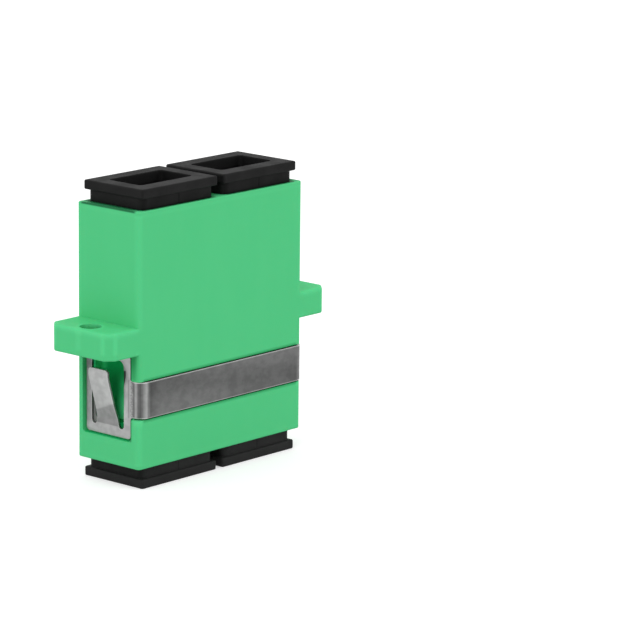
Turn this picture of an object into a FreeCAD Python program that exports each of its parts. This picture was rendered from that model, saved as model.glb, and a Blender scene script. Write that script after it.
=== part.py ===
import FreeCAD, Part
import os
import Sketcher

# Duplex fibre adapter with two ears, a steel spring clip and four dust caps, in millimetres.
# X runs along the ears, Y across the thin way, with the clip's strap on -Y and the key slots on +Y.
# Z runs along the fibres. The origin is on the resting face, under the middle of the adapter.

SIZES = (
    # Housing
    ("body_width", 26.0, "housing across both ports"),
    ("body_depth", 9.3, "housing across the thin way"),
    ("body_height", 28.3, "housing along the fibres"),
    ("corner_round", 0.45, "radius of the four long edges"),
    ("rim_round", 0.15, "radius round each end face"),
    ("port_pitch", 12.7, "distance between the two ports"),
    ("port_width", 9.0, "port across X"),
    ("port_height", 7.4, "port across Y"),
    ("port_corner", 0.3, "radius in the port's corners"),
    ("web_thickness", 2.4, "wall between the two ends of a port"),
    ("web_bore", 5.2, "hole through that wall"),
    ("key_width", 2.2, "key slot across"),
    ("key_length", 8.45, "key slot from the end face"),
    ("key_mouth_round", 0.4, "radius at the slot's mouth"),
    # Ears
    ("ear_reach", 4.5, "ear beyond the housing's side"),
    ("ear_thickness", 3.0, "ear along Z"),
    ("ear_chamfer", 1.0, "flat across each ear corner"),
    ("ear_round", 0.25, "radius of the ear's edges"),
    ("hole_diameter", 2.4, "screw hole"),
    ("hole_offset", 2.6, "screw hole from the housing's side"),
    # Spring clip
    ("strip_thickness", 0.3, "steel sheet"),
    ("clip_inset", 0.3, "left frame below the housing's side"),
    ("clip_play", 0.35, "room for the clip to slide, taken up to the right"),
    ("strap_proud", 0.08, "strap above the housing's face"),
    ("strap_width", 4.05, "strap along Z"),
    ("strap_drop", 0.11, "strap below the frame's middle"),
    ("strap_bend", 1.1, "outer radius at the strap's corners"),
    ("frame_height", 9.2, "frame along Z"),
    ("frame_margin_back", 1.1, "frame from the key slot face"),
    ("frame_margin_front", 1.55, "frame from the strap face"),
    ("frame_corner", 0.5, "radius of the frame's corners"),
    ("frame_inner_corner", 0.3, "radius where strap and frame meet"),
    ("flange_gap", 0.35, "frame below the ear"),
    ("back_border", 0.8, "frame side away from the strap"),
    ("strap_border", 1.0, "frame side that carries the strap"),
    ("flange_border", 0.7, "frame side at the ear"),
    ("root_border", 0.95, "frame side that carries the tongue"),
    ("slot_width", 0.8, "slot each side of the tongue"),
    ("window_corner", 0.7, "radius of the window at the ear"),
    ("tongue_reach", 1.5, "tongue tip in front of the frame"),
    ("tongue_angle", 17.0, "slope of the tongue in degrees"),
    ("tongue_bend", 2.5, "radius of the bend at the root"),
    ("tip_bend", 1.0, "radius of the bend at the tip"),
    ("tip_length", 0.75, "straight end of the tongue"),
    ("tip_corner", 0.4, "radius of the tongue's end corners"),
    # Seat of the clip
    ("clip_gap", 0.05, "room behind the strip"),
    ("seat_margin", 0.2, "room above and below the frame"),
    ("seat_side_margin", 0.3, "room in front of and behind the frame"),
    ("seat_corner", 0.45, "radius in the seat's corners"),
    ("channel_margin", 0.12, "room beside the strap"),
    ("channel_corner", 0.2, "radius where channel and frame seat meet"),
    ("relief_depth", 0.95, "pocket behind the tongue"),
    ("relief_margin", 0.2, "window beyond that pocket"),
    # Split sleeve
    ("sleeve_length", 11.4, "sleeve along Z"),
    ("sleeve_outer", 3.2, "sleeve outside"),
    ("sleeve_bore", 2.5, "sleeve inside"),
    ("sleeve_slit", 0.5, "slit along the sleeve"),
    ("sleeve_gap", 0.05, "room round the sleeve"),
    # Latch holder
    ("holder_gap", 0.1, "holder plate inside the port"),
    ("spigot_gap", 0.1, "spigot inside the wall's hole"),
    ("plate_thickness", 1.4, "holder plate"),
    ("barrel_wall", 0.65, "wall round the sleeve"),
    ("lip_length", 0.65, "lip that keeps the sleeve in"),
    ("lip_gap", 0.05, "lip round the ferrule"),
    ("lip_chamfer", 0.3, "lead-in of the lip"),
    ("hook_recess", 5.4, "hook tips below the end face"),
    ("hook_flex", 0.4, "room outside each hook"),
    ("hook_thickness", 0.8, "hook arm across X"),
    ("hook_width", 2.8, "hook arm across Y"),
    ("barb_reach", 0.5, "barb inside the arm"),
    ("barb_length", 1.6, "barb along the arm"),
    # Dust cap
    ("head_width", 11.7, "cap head across X"),
    ("head_depth", 8.85, "cap head across Y"),
    ("head_thickness", 1.05, "cap head along Z"),
    ("neck_height", 1.25, "step under the head"),
    ("neck_step", 0.28, "head beyond the step"),
    ("cap_corner", 0.22, "radius of the head's long edges"),
    ("neck_corner", 0.8, "radius of the step's long edges"),
    ("cap_round", 0.18, "radius round the head"),
    ("grip_width", 8.2, "recess in the head across X"),
    ("grip_depth", 4.9, "recess in the head across Y"),
    ("grip_corner", 0.5, "radius in that recess's corners"),
    ("grip_draft", 1.5, "slope of that recess's walls in degrees"),
    ("grip_floor", 0.8, "floor of that recess"),
    ("plug_gap", 0.1, "plug inside the port"),
    ("hook_gap", 0.4, "plug in front of the hooks"),
    ("barrel_gap", 0.2, "blades beside the barrel"),
    ("blade_cover", 0.35, "blades beyond the key slot"),
    ("blade_chamfer", 0.3, "lead-in of the blades"),
    ("seam_width", 0.12, "mould line on the step, across"),
    ("seam_depth", 0.04, "mould line on the step, deep"),
)

# Places that several pieces share, worked out from the sizes
CAP_STAND = "(sizes.neck_height + sizes.head_thickness)"
MIDDLE = f"({CAP_STAND} + sizes.body_height / 2)"
HALF_BODY = "sizes.body_height / 2"
HALF_PITCH = "sizes.port_pitch / 2"
HALF_WEB = "sizes.web_thickness / 2"
SIDE = "sizes.body_width / 2"
FACE = "sizes.body_depth / 2"

SEAT_OUT = f"({SIDE} - sizes.clip_inset)"
FRAME_OUT = f"({SEAT_OUT} + sizes.clip_play)"
FRAME_IN = f"({FRAME_OUT} - sizes.strip_thickness)"
STRAP_OUT = f"({FACE} + sizes.strap_proud)"
STRAP_IN = f"({STRAP_OUT} - sizes.strip_thickness)"
FRAME_TOP = "(-sizes.ear_thickness / 2 - sizes.flange_gap)"
FRAME_BOTTOM = f"({FRAME_TOP} - sizes.frame_height)"
FRAME_MIDDLE = f"({FRAME_TOP} - sizes.frame_height / 2)"
STRAP_MIDDLE = f"({FRAME_MIDDLE} - sizes.strap_drop)"
FRAME_BACK = f"({FACE} - sizes.frame_margin_back)"
FRAME_FRONT = f"(-{FACE} + sizes.frame_margin_front)"
WINDOW_BACK = f"({FRAME_BACK} - sizes.back_border)"
WINDOW_FRONT = f"({FRAME_FRONT} + sizes.strap_border)"
WINDOW_TOP = f"({FRAME_TOP} - sizes.flange_border)"
TONGUE_ROOT = f"({FRAME_BOTTOM} + sizes.root_border + sizes.slot_width / 2)"
TONGUE_BACK = f"({WINDOW_BACK} - sizes.slot_width)"
TONGUE_FRONT = f"({WINDOW_FRONT} + sizes.slot_width)"

SLEEVE_SEAT = "(sizes.sleeve_length / 2 + sizes.sleeve_gap)"
BARREL_TIP = f"({SLEEVE_SEAT} + sizes.lip_length)"
BARREL_OUTER = "(sizes.sleeve_outer + 2 * sizes.sleeve_gap + 2 * sizes.barrel_wall)"
HOOK_TIP = f"({HALF_BODY} - sizes.hook_recess)"
PLATE_TOP = f"({HALF_WEB} + sizes.plate_thickness)"
PLUG_DEPTH = "(sizes.hook_recess - sizes.hook_gap)"
BLADE_DEPTH = "(sizes.key_length + sizes.blade_cover)"

# How far a cut runs past the faces that it opens
OVERCUT = "1"
# A distance within which two edge positions count as the same
SAME_PLACE = 1e-4

UPRIGHT = FreeCAD.Rotation()
TURNED_OVER = FreeCAD.Rotation(FreeCAD.Vector(1, 0, 0), 180)
LEFT_AND_RIGHT = (("left", -1), ("right", 1))
TOP_AND_BOTTOM = (("top", UPRIGHT, 1), ("bottom", TURNED_OVER, -1))


def make_sizes(doc):
    """Puts every driving dimension into the sheet, with its name as the alias."""
    sheet = doc.addObject("Spreadsheet::Sheet", "sizes")
    for row, (name, value, note) in enumerate(SIZES, start=1):
        sheet.set(f"A{row}", note)
        sheet.set(f"B{row}", str(value))
        sheet.setAlias(f"B{row}", name)
    doc.recompute()
    return sheet


def number(doc, expression):
    """The present value of an expression of sizes."""
    return float(doc.getObject("sizes").evalExpression(expression))


def new_body(doc, label, x="0", z="0", rotation=UPRIGHT):
    """A named body whose own origin sits at (x, 0, z)."""
    body = doc.addObject("PartDesign::Body", label)
    body.Label = label
    body.Placement = FreeCAD.Placement(FreeCAD.Vector(), rotation)
    body.setExpression("Placement.Base.x", x)
    body.setExpression("Placement.Base.z", z)
    return body


def origin_plane(body, role):
    """One of the body's own origin planes."""
    return next(plane for plane in body.Origin.OriginFeatures if plane.Role == role)


def new_sketch(body, name, role="XY_Plane", offset="0"):
    """A sketch on an origin plane, moved along the plane's normal."""
    sketch = body.newObject("Sketcher::SketchObject", name)
    sketch.AttachmentSupport = [(origin_plane(body, role), "")]
    sketch.MapMode = "FlatFace"
    sketch.setExpression("AttachmentOffset.Base.z", offset)
    return sketch


def pin_point(sketch, geometry, position, x, y):
    """Holds a sketch point at the place that two expressions give."""
    for kind, expression in (("DistanceX", x), ("DistanceY", y)):
        pin_one_way(sketch, kind, geometry, position, expression)


def pin_one_way(sketch, kind, geometry, position, expression):
    """Holds one coordinate of a sketch point."""
    value = number(sketch.Document, expression)
    index = sketch.addConstraint(Sketcher.Constraint(kind, -1, 1, geometry, position, value))
    sketch.setExpression(f"Constraints[{index}]", expression)


def draw_outline(sketch, steps):
    """Draws a closed outline.

    Each step is (x, y) for a straight run to that point, or (x, y, centre x, centre y, turn) for
    an arc to it, with turn 1 for counter-clockwise and -1 for clockwise. All places are expressions.
    """
    doc = sketch.Document
    points = [FreeCAD.Vector(number(doc, step[0]), number(doc, step[1])) for step in steps]
    ends = []
    for step, start, end in zip(steps, points[-1:] + points[:-1], points):
        if len(step) == 2:
            geometry = sketch.addGeometry(Part.LineSegment(start, end))
            ends.append((geometry, 1, 2))
            continue
        centre = FreeCAD.Vector(number(doc, step[2]), number(doc, step[3]))
        first, last = (start, end) if step[4] > 0 else (end, start)
        first_angle = (first - centre).getAngle(FreeCAD.Vector(1, 0, 0))
        last_angle = (last - centre).getAngle(FreeCAD.Vector(1, 0, 0))
        first_angle = first_angle if first.y >= centre.y else -first_angle
        last_angle = last_angle if last.y >= centre.y else -last_angle
        circle = Part.Circle(centre, FreeCAD.Vector(0, 0, 1), (first - centre).Length)
        geometry = sketch.addGeometry(Part.ArcOfCircle(circle, first_angle, last_angle))
        ends.append((geometry, 1, 2) if step[4] > 0 else (geometry, 2, 1))
    for this, following in zip(ends, ends[1:] + ends[:1]):
        sketch.addConstraint(Sketcher.Constraint("Coincident", this[0], this[2], following[0], following[1]))
    for step, (geometry, _, last) in zip(steps, ends):
        pin_point(sketch, geometry, last, step[0], step[1])
    for step, start, end, (geometry, _, _) in zip(steps, points[-1:] + points[:-1], points, ends):
        if len(step) > 2:
            sideways = abs(end.x - start.x) < abs(end.y - start.y)
            kind, place = ("DistanceX", step[2]) if sideways else ("DistanceY", step[3])
            pin_one_way(sketch, kind, geometry, 3, place)


def draw_box(sketch, x_low, x_high, y_low, y_high):
    """Draws a sharp-cornered rectangle between four expressions."""
    draw_outline(sketch, [(x_low, y_low), (x_high, y_low), (x_high, y_high), (x_low, y_high)])


def draw_rounded_box(sketch, x_low, x_high, y_low, y_high, radius):
    """Draws a rectangle between four expressions, with rounded corners."""
    inner_x_low = f"({x_low} + {radius})"
    inner_x_high = f"({x_high} - {radius})"
    inner_y_low = f"({y_low} + {radius})"
    inner_y_high = f"({y_high} - {radius})"
    draw_outline(sketch, [
        (inner_x_high, y_low),
        (x_high, inner_y_low, inner_x_high, inner_y_low, 1),
        (x_high, inner_y_high),
        (inner_x_high, y_high, inner_x_high, inner_y_high, 1),
        (inner_x_low, y_high),
        (x_low, inner_y_high, inner_x_low, inner_y_high, 1),
        (x_low, inner_y_low),
        (inner_x_low, y_low, inner_x_low, inner_y_low, 1),
    ])


def draw_circle(sketch, x, y, diameter):
    """Draws a circle whose centre and diameter are expressions."""
    doc = sketch.Document
    centre = FreeCAD.Vector(number(doc, x), number(doc, y))
    radius = number(doc, diameter) / 2
    geometry = sketch.addGeometry(Part.Circle(centre, FreeCAD.Vector(0, 0, 1), radius))
    pin_point(sketch, geometry, 3, x, y)
    index = sketch.addConstraint(Sketcher.Constraint("Diameter", geometry, 2 * radius))
    sketch.setExpression(f"Constraints[{index}]", diameter)


def pad(sketch, name, length, both_ways=False, backwards=False):
    """Adds material from a sketch, along its normal unless told otherwise."""
    feature = sketch.getParentGeoFeatureGroup().newObject("PartDesign::Pad", name)
    return run_feature(feature, sketch, length, both_ways, backwards)


def pocket(sketch, name, length, both_ways=False, backwards=False):
    """Removes material, against the sketch's normal unless told otherwise, and proves that it did."""
    body = sketch.getParentGeoFeatureGroup()
    before = body.Shape.Volume
    feature = body.newObject("PartDesign::Pocket", name)
    run_feature(feature, sketch, length, both_ways, backwards)
    if feature.Shape.Volume >= before:
        raise RuntimeError(f"{body.Label}.{name} removes nothing")
    return feature


def run_feature(feature, sketch, length, both_ways, backwards):
    """Sets a pad or pocket up and builds it."""
    feature.Profile = sketch
    feature.setExpression("Length", length)
    feature.Midplane = both_ways
    feature.Reversed = backwards
    sketch.Visibility = False
    feature.Document.recompute()
    return feature


def mirror(body, name, originals, role):
    """Repeats features on the other side of one of the body's origin planes."""
    feature = body.newObject("PartDesign::Mirrored", name)
    feature.Originals = originals
    feature.MirrorPlane = (origin_plane(body, role), [""])
    body.Tip = feature
    body.Document.recompute()
    return feature


def blend_edges(body, name, kind, size, wanted):
    """Rounds or chamfers the edges of the body's last shape that pass a test."""
    base = body.Tip
    edges = [f"Edge{n}" for n, edge in enumerate(base.Shape.Edges, start=1) if wanted(edge)]
    if not edges:
        raise RuntimeError(f"{body.Label}.{name} finds no edge")
    feature = body.newObject(f"PartDesign::{kind}", name)
    feature.Base = (base, edges)
    feature.setExpression("Radius" if kind == "Fillet" else "Size", size)
    body.Document.recompute()
    return feature


def lies_at(edge, axis, place):
    """Whether a whole edge lies in the plane where one coordinate has a given value."""
    box = edge.BoundBox
    low, high = {"x": (box.XMin, box.XMax), "y": (box.YMin, box.YMax), "z": (box.ZMin, box.ZMax)}[axis]
    return abs(low - place) < SAME_PLACE and abs(high - place) < SAME_PLACE


def runs_along_x(edge):
    """Whether an edge is a straight line along X."""
    box = edge.BoundBox
    return box.XLength > SAME_PLACE and box.YLength < SAME_PLACE and box.ZLength < SAME_PLACE


def make_housing(doc):
    """The green moulding: block, ears, ports, key slots and the seat of the clip."""
    body = new_body(doc, "housing", z=MIDDLE)

    # The ears are one bar right through the block
    ear_end = f"({SIDE} + sizes.ear_reach)"
    ear_flat = f"({ear_end} - sizes.ear_chamfer)"
    ear_side = f"({FACE} - sizes.ear_chamfer)"
    bar = new_sketch(body, "ear_outline")
    draw_outline(bar, [
        (f"-{ear_flat}", f"-{FACE}"), (ear_flat, f"-{FACE}"), (ear_end, f"-{ear_side}"), (ear_end, ear_side),
        (ear_flat, FACE), (f"-{ear_flat}", FACE), (f"-{ear_end}", ear_side), (f"-{ear_end}", f"-{ear_side}"),
    ])
    pad(bar, "ears", "sizes.ear_thickness", both_ways=True)
    blend_edges(body, "ear_edges", "Fillet", "sizes.ear_round", lambda edge: True)

    block = new_sketch(body, "block_outline")
    draw_rounded_box(block, f"-{SIDE}", SIDE, f"-{FACE}", FACE, "sizes.corner_round")
    pad(block, "block", "sizes.body_height", both_ways=True)
    half_body = number(doc, HALF_BODY)
    blend_edges(body, "end_rims", "Fillet", "sizes.rim_round",
                lambda edge: lies_at(edge, "z", half_body) or lies_at(edge, "z", -half_body))

    # Ports and key slots are cut at the top end and mirrored to the bottom
    ports = new_sketch(body, "port_outlines", offset=HALF_BODY)
    for _, side in LEFT_AND_RIGHT:
        centre = f"{side} * {HALF_PITCH}"
        draw_rounded_box(ports, f"({centre} - sizes.port_width / 2)", f"({centre} + sizes.port_width / 2)",
                         "-sizes.port_height / 2", "sizes.port_height / 2", "sizes.port_corner")
    port_cut = pocket(ports, "ports", f"{HALF_BODY} - {HALF_WEB}")

    keys = new_sketch(body, "key_outlines", "XZ_Plane", f"-{FACE}")
    for _, side in LEFT_AND_RIGHT:
        draw_key_slot(keys, f"{side} * {HALF_PITCH}")
    wall = f"({FACE} - sizes.port_height / 2)"
    key_cut = pocket(keys, "key_slots", f"{wall} + {OVERCUT}", backwards=True)
    mirror(body, "bottom_end", [port_cut, key_cut], "XY_Plane")

    bores = new_sketch(body, "web_bore_outlines")
    for _, side in LEFT_AND_RIGHT:
        draw_circle(bores, f"{side} * {HALF_PITCH}", "0", "sizes.web_bore")
    pocket(bores, "web_bores", "sizes.web_thickness * 2", both_ways=True)

    holes = new_sketch(body, "screw_hole_outlines")
    for _, side in LEFT_AND_RIGHT:
        draw_circle(holes, f"{side} * ({SIDE} + sizes.hole_offset)", "0", "sizes.hole_diameter")
    pocket(holes, "screw_holes", "sizes.ear_thickness * 2", both_ways=True)

    cut_clip_seat(body)
    return body


def draw_key_slot(sketch, centre):
    """The outline of a slot that is open at the end face and round at its inner end."""
    half = "sizes.key_width / 2"
    mouth = "sizes.key_mouth_round"
    straight_end = f"({HALF_BODY} - sizes.key_length + {half})"
    mouth_start = f"({HALF_BODY} - {mouth})"
    left, right = f"({centre} - {half})", f"({centre} + {half})"
    left_lip, right_lip = f"({left} - {mouth})", f"({right} + {mouth})"
    draw_outline(sketch, [
        (left, mouth_start, left_lip, mouth_start, -1),
        (left, straight_end),
        (right, straight_end, centre, straight_end, 1),
        (right, mouth_start),
        (right_lip, HALF_BODY, right_lip, mouth_start, -1),
        (right_lip, f"({HALF_BODY} + {OVERCUT})"),
        (left_lip, f"({HALF_BODY} + {OVERCUT})"),
        (left_lip, HALF_BODY),
    ])


def cut_clip_seat(body):
    """The recess for each side frame, the pocket behind each tongue and the strap's channel."""
    margin, side_margin = "sizes.seat_margin", "sizes.seat_side_margin"
    seat_depth = "(sizes.clip_inset + sizes.strip_thickness + sizes.clip_gap)"
    seat = new_sketch(body, "seat_outline", "YZ_Plane", f"-{SIDE}")
    draw_rounded_box(seat, f"({FRAME_FRONT} - {side_margin})", f"({FRAME_BACK} + {side_margin})",
                     f"({FRAME_BOTTOM} - {margin})", f"({FRAME_TOP} + {margin})", "sizes.seat_corner")
    seat_cut = pocket(seat, "frame_seat", seat_depth, backwards=True)

    inside = "sizes.relief_margin"
    relief = new_sketch(body, "relief_outline", "YZ_Plane", f"-{SIDE}")
    draw_rounded_box(relief, f"({WINDOW_FRONT} + {inside})", f"({WINDOW_BACK} - {inside})",
                     f"({TONGUE_ROOT} + {inside})", f"({WINDOW_TOP} - {inside})", "sizes.seat_corner")
    relief_cut = pocket(relief, "tongue_relief", f"{seat_depth} + sizes.relief_depth", backwards=True)
    mirror(body, "right_seat", [seat_cut, relief_cut], "YZ_Plane")

    # The channel follows the inside of the strap, as it lies when it is pushed up to the corner
    floor_x = f"({SIDE} - {seat_depth})"
    floor_y = f"({STRAP_IN} - sizes.clip_gap)"
    bend_x = f"({SEAT_OUT} - sizes.strap_bend)"
    bend_y = f"({STRAP_OUT} - sizes.strap_bend)"
    outside_x = f"({SIDE} + {OVERCUT})"
    outside_y = f"({FACE} + {OVERCUT})"
    channel = new_sketch(body, "channel_outline", offset=STRAP_MIDDLE)
    draw_outline(channel, [
        (f"-{floor_x}", FRAME_FRONT),
        (f"-{floor_x}", f"-{bend_y}"),
        (f"-{bend_x}", f"-{floor_y}", f"-{bend_x}", f"-{bend_y}", 1),
        (bend_x, f"-{floor_y}"),
        (floor_x, f"-{bend_y}", bend_x, f"-{bend_y}", 1),
        (floor_x, FRAME_FRONT),
        (outside_x, FRAME_FRONT),
        (outside_x, f"-{outside_y}"),
        (f"-{outside_x}", f"-{outside_y}"),
        (f"-{outside_x}", FRAME_FRONT),
    ])
    half_channel = "(sizes.strap_width / 2 + sizes.channel_margin)"
    pocket(channel, "strap_channel", f"2 * {half_channel}", both_ways=True)

    doc = body.Document
    seat_edge = number(doc, f"{FRAME_FRONT} - {side_margin}")
    channel_edges = [number(doc, f"{STRAP_MIDDLE} {sign} {half_channel}") for sign in "+-"]
    blend_edges(body, "channel_corners", "Fillet", "sizes.channel_corner",
                lambda edge: runs_along_x(edge) and lies_at(edge, "y", seat_edge)
                and any(lies_at(edge, "z", place) for place in channel_edges))


def make_spring_clip(doc):
    """The steel strip: a strap, two frames and a bent-out tongue in each frame."""
    body = new_body(doc, "spring_clip", x="sizes.clip_play", z=MIDDLE)
    bend_x = f"({FRAME_OUT} - sizes.strap_bend)"
    bend_y = f"({STRAP_OUT} - sizes.strap_bend)"

    strip = new_sketch(body, "strip_outline", offset=FRAME_MIDDLE)
    draw_outline(strip, [
        (f"-{FRAME_OUT}", FRAME_BACK),
        (f"-{FRAME_OUT}", f"-{bend_y}"),
        (f"-{bend_x}", f"-{STRAP_OUT}", f"-{bend_x}", f"-{bend_y}", 1),
        (bend_x, f"-{STRAP_OUT}"),
        (FRAME_OUT, f"-{bend_y}", bend_x, f"-{bend_y}", 1),
        (FRAME_OUT, FRAME_BACK),
        (FRAME_IN, FRAME_BACK),
        (FRAME_IN, f"-{bend_y}"),
        (bend_x, f"-{STRAP_IN}", bend_x, f"-{bend_y}", -1),
        (f"-{bend_x}", f"-{STRAP_IN}"),
        (f"-{FRAME_IN}", f"-{bend_y}", f"-{bend_x}", f"-{bend_y}", -1),
        (f"-{FRAME_IN}", FRAME_BACK),
    ])
    pad(strip, "strip", "sizes.frame_height", both_ways=True)

    # Above and below the strap the sheet ends at the frame's front edge
    beyond = f"({FRAME_BOTTOM} - {OVERCUT})"
    above = f"({FRAME_TOP} + {OVERCUT})"
    outside_y = f"-({STRAP_OUT} + {OVERCUT})"
    trims = new_sketch(body, "trim_outlines", "YZ_Plane")
    draw_box(trims, outside_y, FRAME_FRONT, f"({STRAP_MIDDLE} + sizes.strap_width / 2)", above)
    draw_box(trims, outside_y, FRAME_FRONT, beyond, f"({STRAP_MIDDLE} - sizes.strap_width / 2)")
    pocket(trims, "strap_trim", f"2 * {SIDE} + 2 * {OVERCUT}", both_ways=True)

    draw_windows(body)
    add_tongues(body)
    round_frame(body)
    return body


def draw_windows(body):
    """Cuts the window in both frames, with a round-ended slot each side of the tongue's root."""
    corner = "sizes.window_corner"
    half_slot = "sizes.slot_width / 2"
    back_slot = f"({WINDOW_BACK} - {half_slot})"
    front_slot = f"({WINDOW_FRONT} + {half_slot})"
    windows = new_sketch(body, "window_outline", "YZ_Plane")
    draw_outline(windows, [
        (WINDOW_FRONT, TONGUE_ROOT),
        (TONGUE_FRONT, TONGUE_ROOT, front_slot, TONGUE_ROOT, 1),
        (TONGUE_BACK, TONGUE_ROOT),
        (WINDOW_BACK, TONGUE_ROOT, back_slot, TONGUE_ROOT, 1),
        (WINDOW_BACK, f"({WINDOW_TOP} - {corner})"),
        (f"({WINDOW_BACK} - {corner})", WINDOW_TOP, f"({WINDOW_BACK} - {corner})", f"({WINDOW_TOP} - {corner})", 1),
        (f"({WINDOW_FRONT} + {corner})", WINDOW_TOP),
        (WINDOW_FRONT, f"({WINDOW_TOP} - {corner})",
         f"({WINDOW_FRONT} + {corner})", f"({WINDOW_TOP} - {corner})", 1),
    ])
    pocket(windows, "windows", f"2 * {SIDE} + 2 * {OVERCUT}", both_ways=True)


def add_tongues(body):
    """Adds both tongues, bent out at the root and straight again at the tip."""
    root_bend, tip_bend = "sizes.tongue_bend", "sizes.tip_bend"
    thick = "sizes.strip_thickness"
    sine, cosine = "sin(sizes.tongue_angle)", "cos(sizes.tongue_angle)"
    slope = f"((sizes.tongue_reach - ({root_bend} + {tip_bend} + {thick}) * (1 - {cosine})) / {sine})"
    # Centre of the root's bend, outside the frame, and of the tip's bend, inside the tongue
    root_x = f"({FRAME_OUT} + {root_bend})"
    tip_x = f"({FRAME_OUT} + sizes.tongue_reach - {tip_bend} - {thick})"
    tip_z = f"({TONGUE_ROOT} + ({root_bend} + {tip_bend} + {thick}) * {sine} + {slope} * {cosine})"
    tip_end = f"({tip_z} + sizes.tip_length)"
    tongues = new_sketch(body, "tongue_profiles", "XZ_Plane", f"-({TONGUE_BACK} + {TONGUE_FRONT}) / 2")
    for _, side in LEFT_AND_RIGHT:
        def across(place):
            return f"{side} * {place}"

        def on_root(radius):
            return across(f"({root_x} - {radius} * {cosine})"), f"({TONGUE_ROOT} + {radius} * {sine})"

        def on_tip(radius):
            return across(f"({tip_x} + {radius} * {cosine})"), f"({tip_z} - {radius} * {sine})"

        outer_tip = f"({tip_bend} + {thick})"
        inner_root = f"({root_bend} + {thick})"
        draw_outline(tongues, [
            (across(FRAME_OUT), TONGUE_ROOT),
            (*on_root(root_bend), across(root_x), TONGUE_ROOT, -side),
            on_tip(outer_tip),
            (across(f"({tip_x} + {outer_tip})"), tip_z, across(tip_x), tip_z, side),
            (across(f"({tip_x} + {outer_tip})"), tip_end),
            (across(f"({tip_x} + {tip_bend})"), tip_end),
            (across(f"({tip_x} + {tip_bend})"), tip_z),
            (*on_tip(tip_bend), across(tip_x), tip_z, -side),
            on_root(inner_root),
            (across(FRAME_IN), TONGUE_ROOT, across(root_x), TONGUE_ROOT, side),
        ])
    pad(tongues, "tongues", f"{TONGUE_BACK} - {TONGUE_FRONT}", both_ways=True)

    tip_edge = number(body.Document, tip_end)
    blend_edges(body, "tip_corners", "Fillet", "sizes.tip_corner",
                lambda edge: runs_along_x(edge) and lies_at(edge, "z", tip_edge))


def round_frame(body):
    """Rounds the frame's outer corners and the inner ones where the strap leaves it."""
    doc = body.Document
    places = {name: number(doc, text) for name, text in (
        ("back", FRAME_BACK), ("front", FRAME_FRONT), ("top", FRAME_TOP), ("bottom", FRAME_BOTTOM),
        ("strap_top", f"{STRAP_MIDDLE} + sizes.strap_width / 2"),
        ("strap_bottom", f"{STRAP_MIDDLE} - sizes.strap_width / 2"))}

    def at(edge, sides, ends):
        return (runs_along_x(edge)
                and any(lies_at(edge, "y", places[side]) for side in sides)
                and any(lies_at(edge, "z", places[end]) for end in ends))

    blend_edges(body, "frame_corners", "Fillet", "sizes.frame_corner",
                lambda edge: at(edge, ("back", "front"), ("top", "bottom")))
    blend_edges(body, "strap_corners", "Fillet", "sizes.frame_inner_corner",
                lambda edge: at(edge, ("front",), ("strap_top", "strap_bottom")))


def make_split_sleeve(doc, name, side):
    """The slit ceramic tube that lines up the two ferrules."""
    body = new_body(doc, name, x=f"{side} * {HALF_PITCH}", z=MIDDLE)
    half_slit = "sizes.sleeve_slit / 2"
    outer, inner = "sizes.sleeve_outer / 2", "sizes.sleeve_bore / 2"
    outer_y = f"sqrt(({outer})^2 - ({half_slit})^2)"
    inner_y = f"sqrt(({inner})^2 - ({half_slit})^2)"
    section = new_sketch(body, "sleeve_section")
    # Each half turn ends on the far side, so that every arc stays under a full circle
    draw_outline(section, [
        (f"-{half_slit}", outer_y),
        ("0", f"-{outer}", "0", "0", 1),
        (half_slit, outer_y, "0", "0", 1),
        (half_slit, inner_y),
        ("0", f"-{inner}", "0", "0", -1),
        (f"-{half_slit}", inner_y, "0", "0", -1),
    ])
    pad(section, "sleeve", "sizes.sleeve_length", both_ways=True)
    return body


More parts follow.
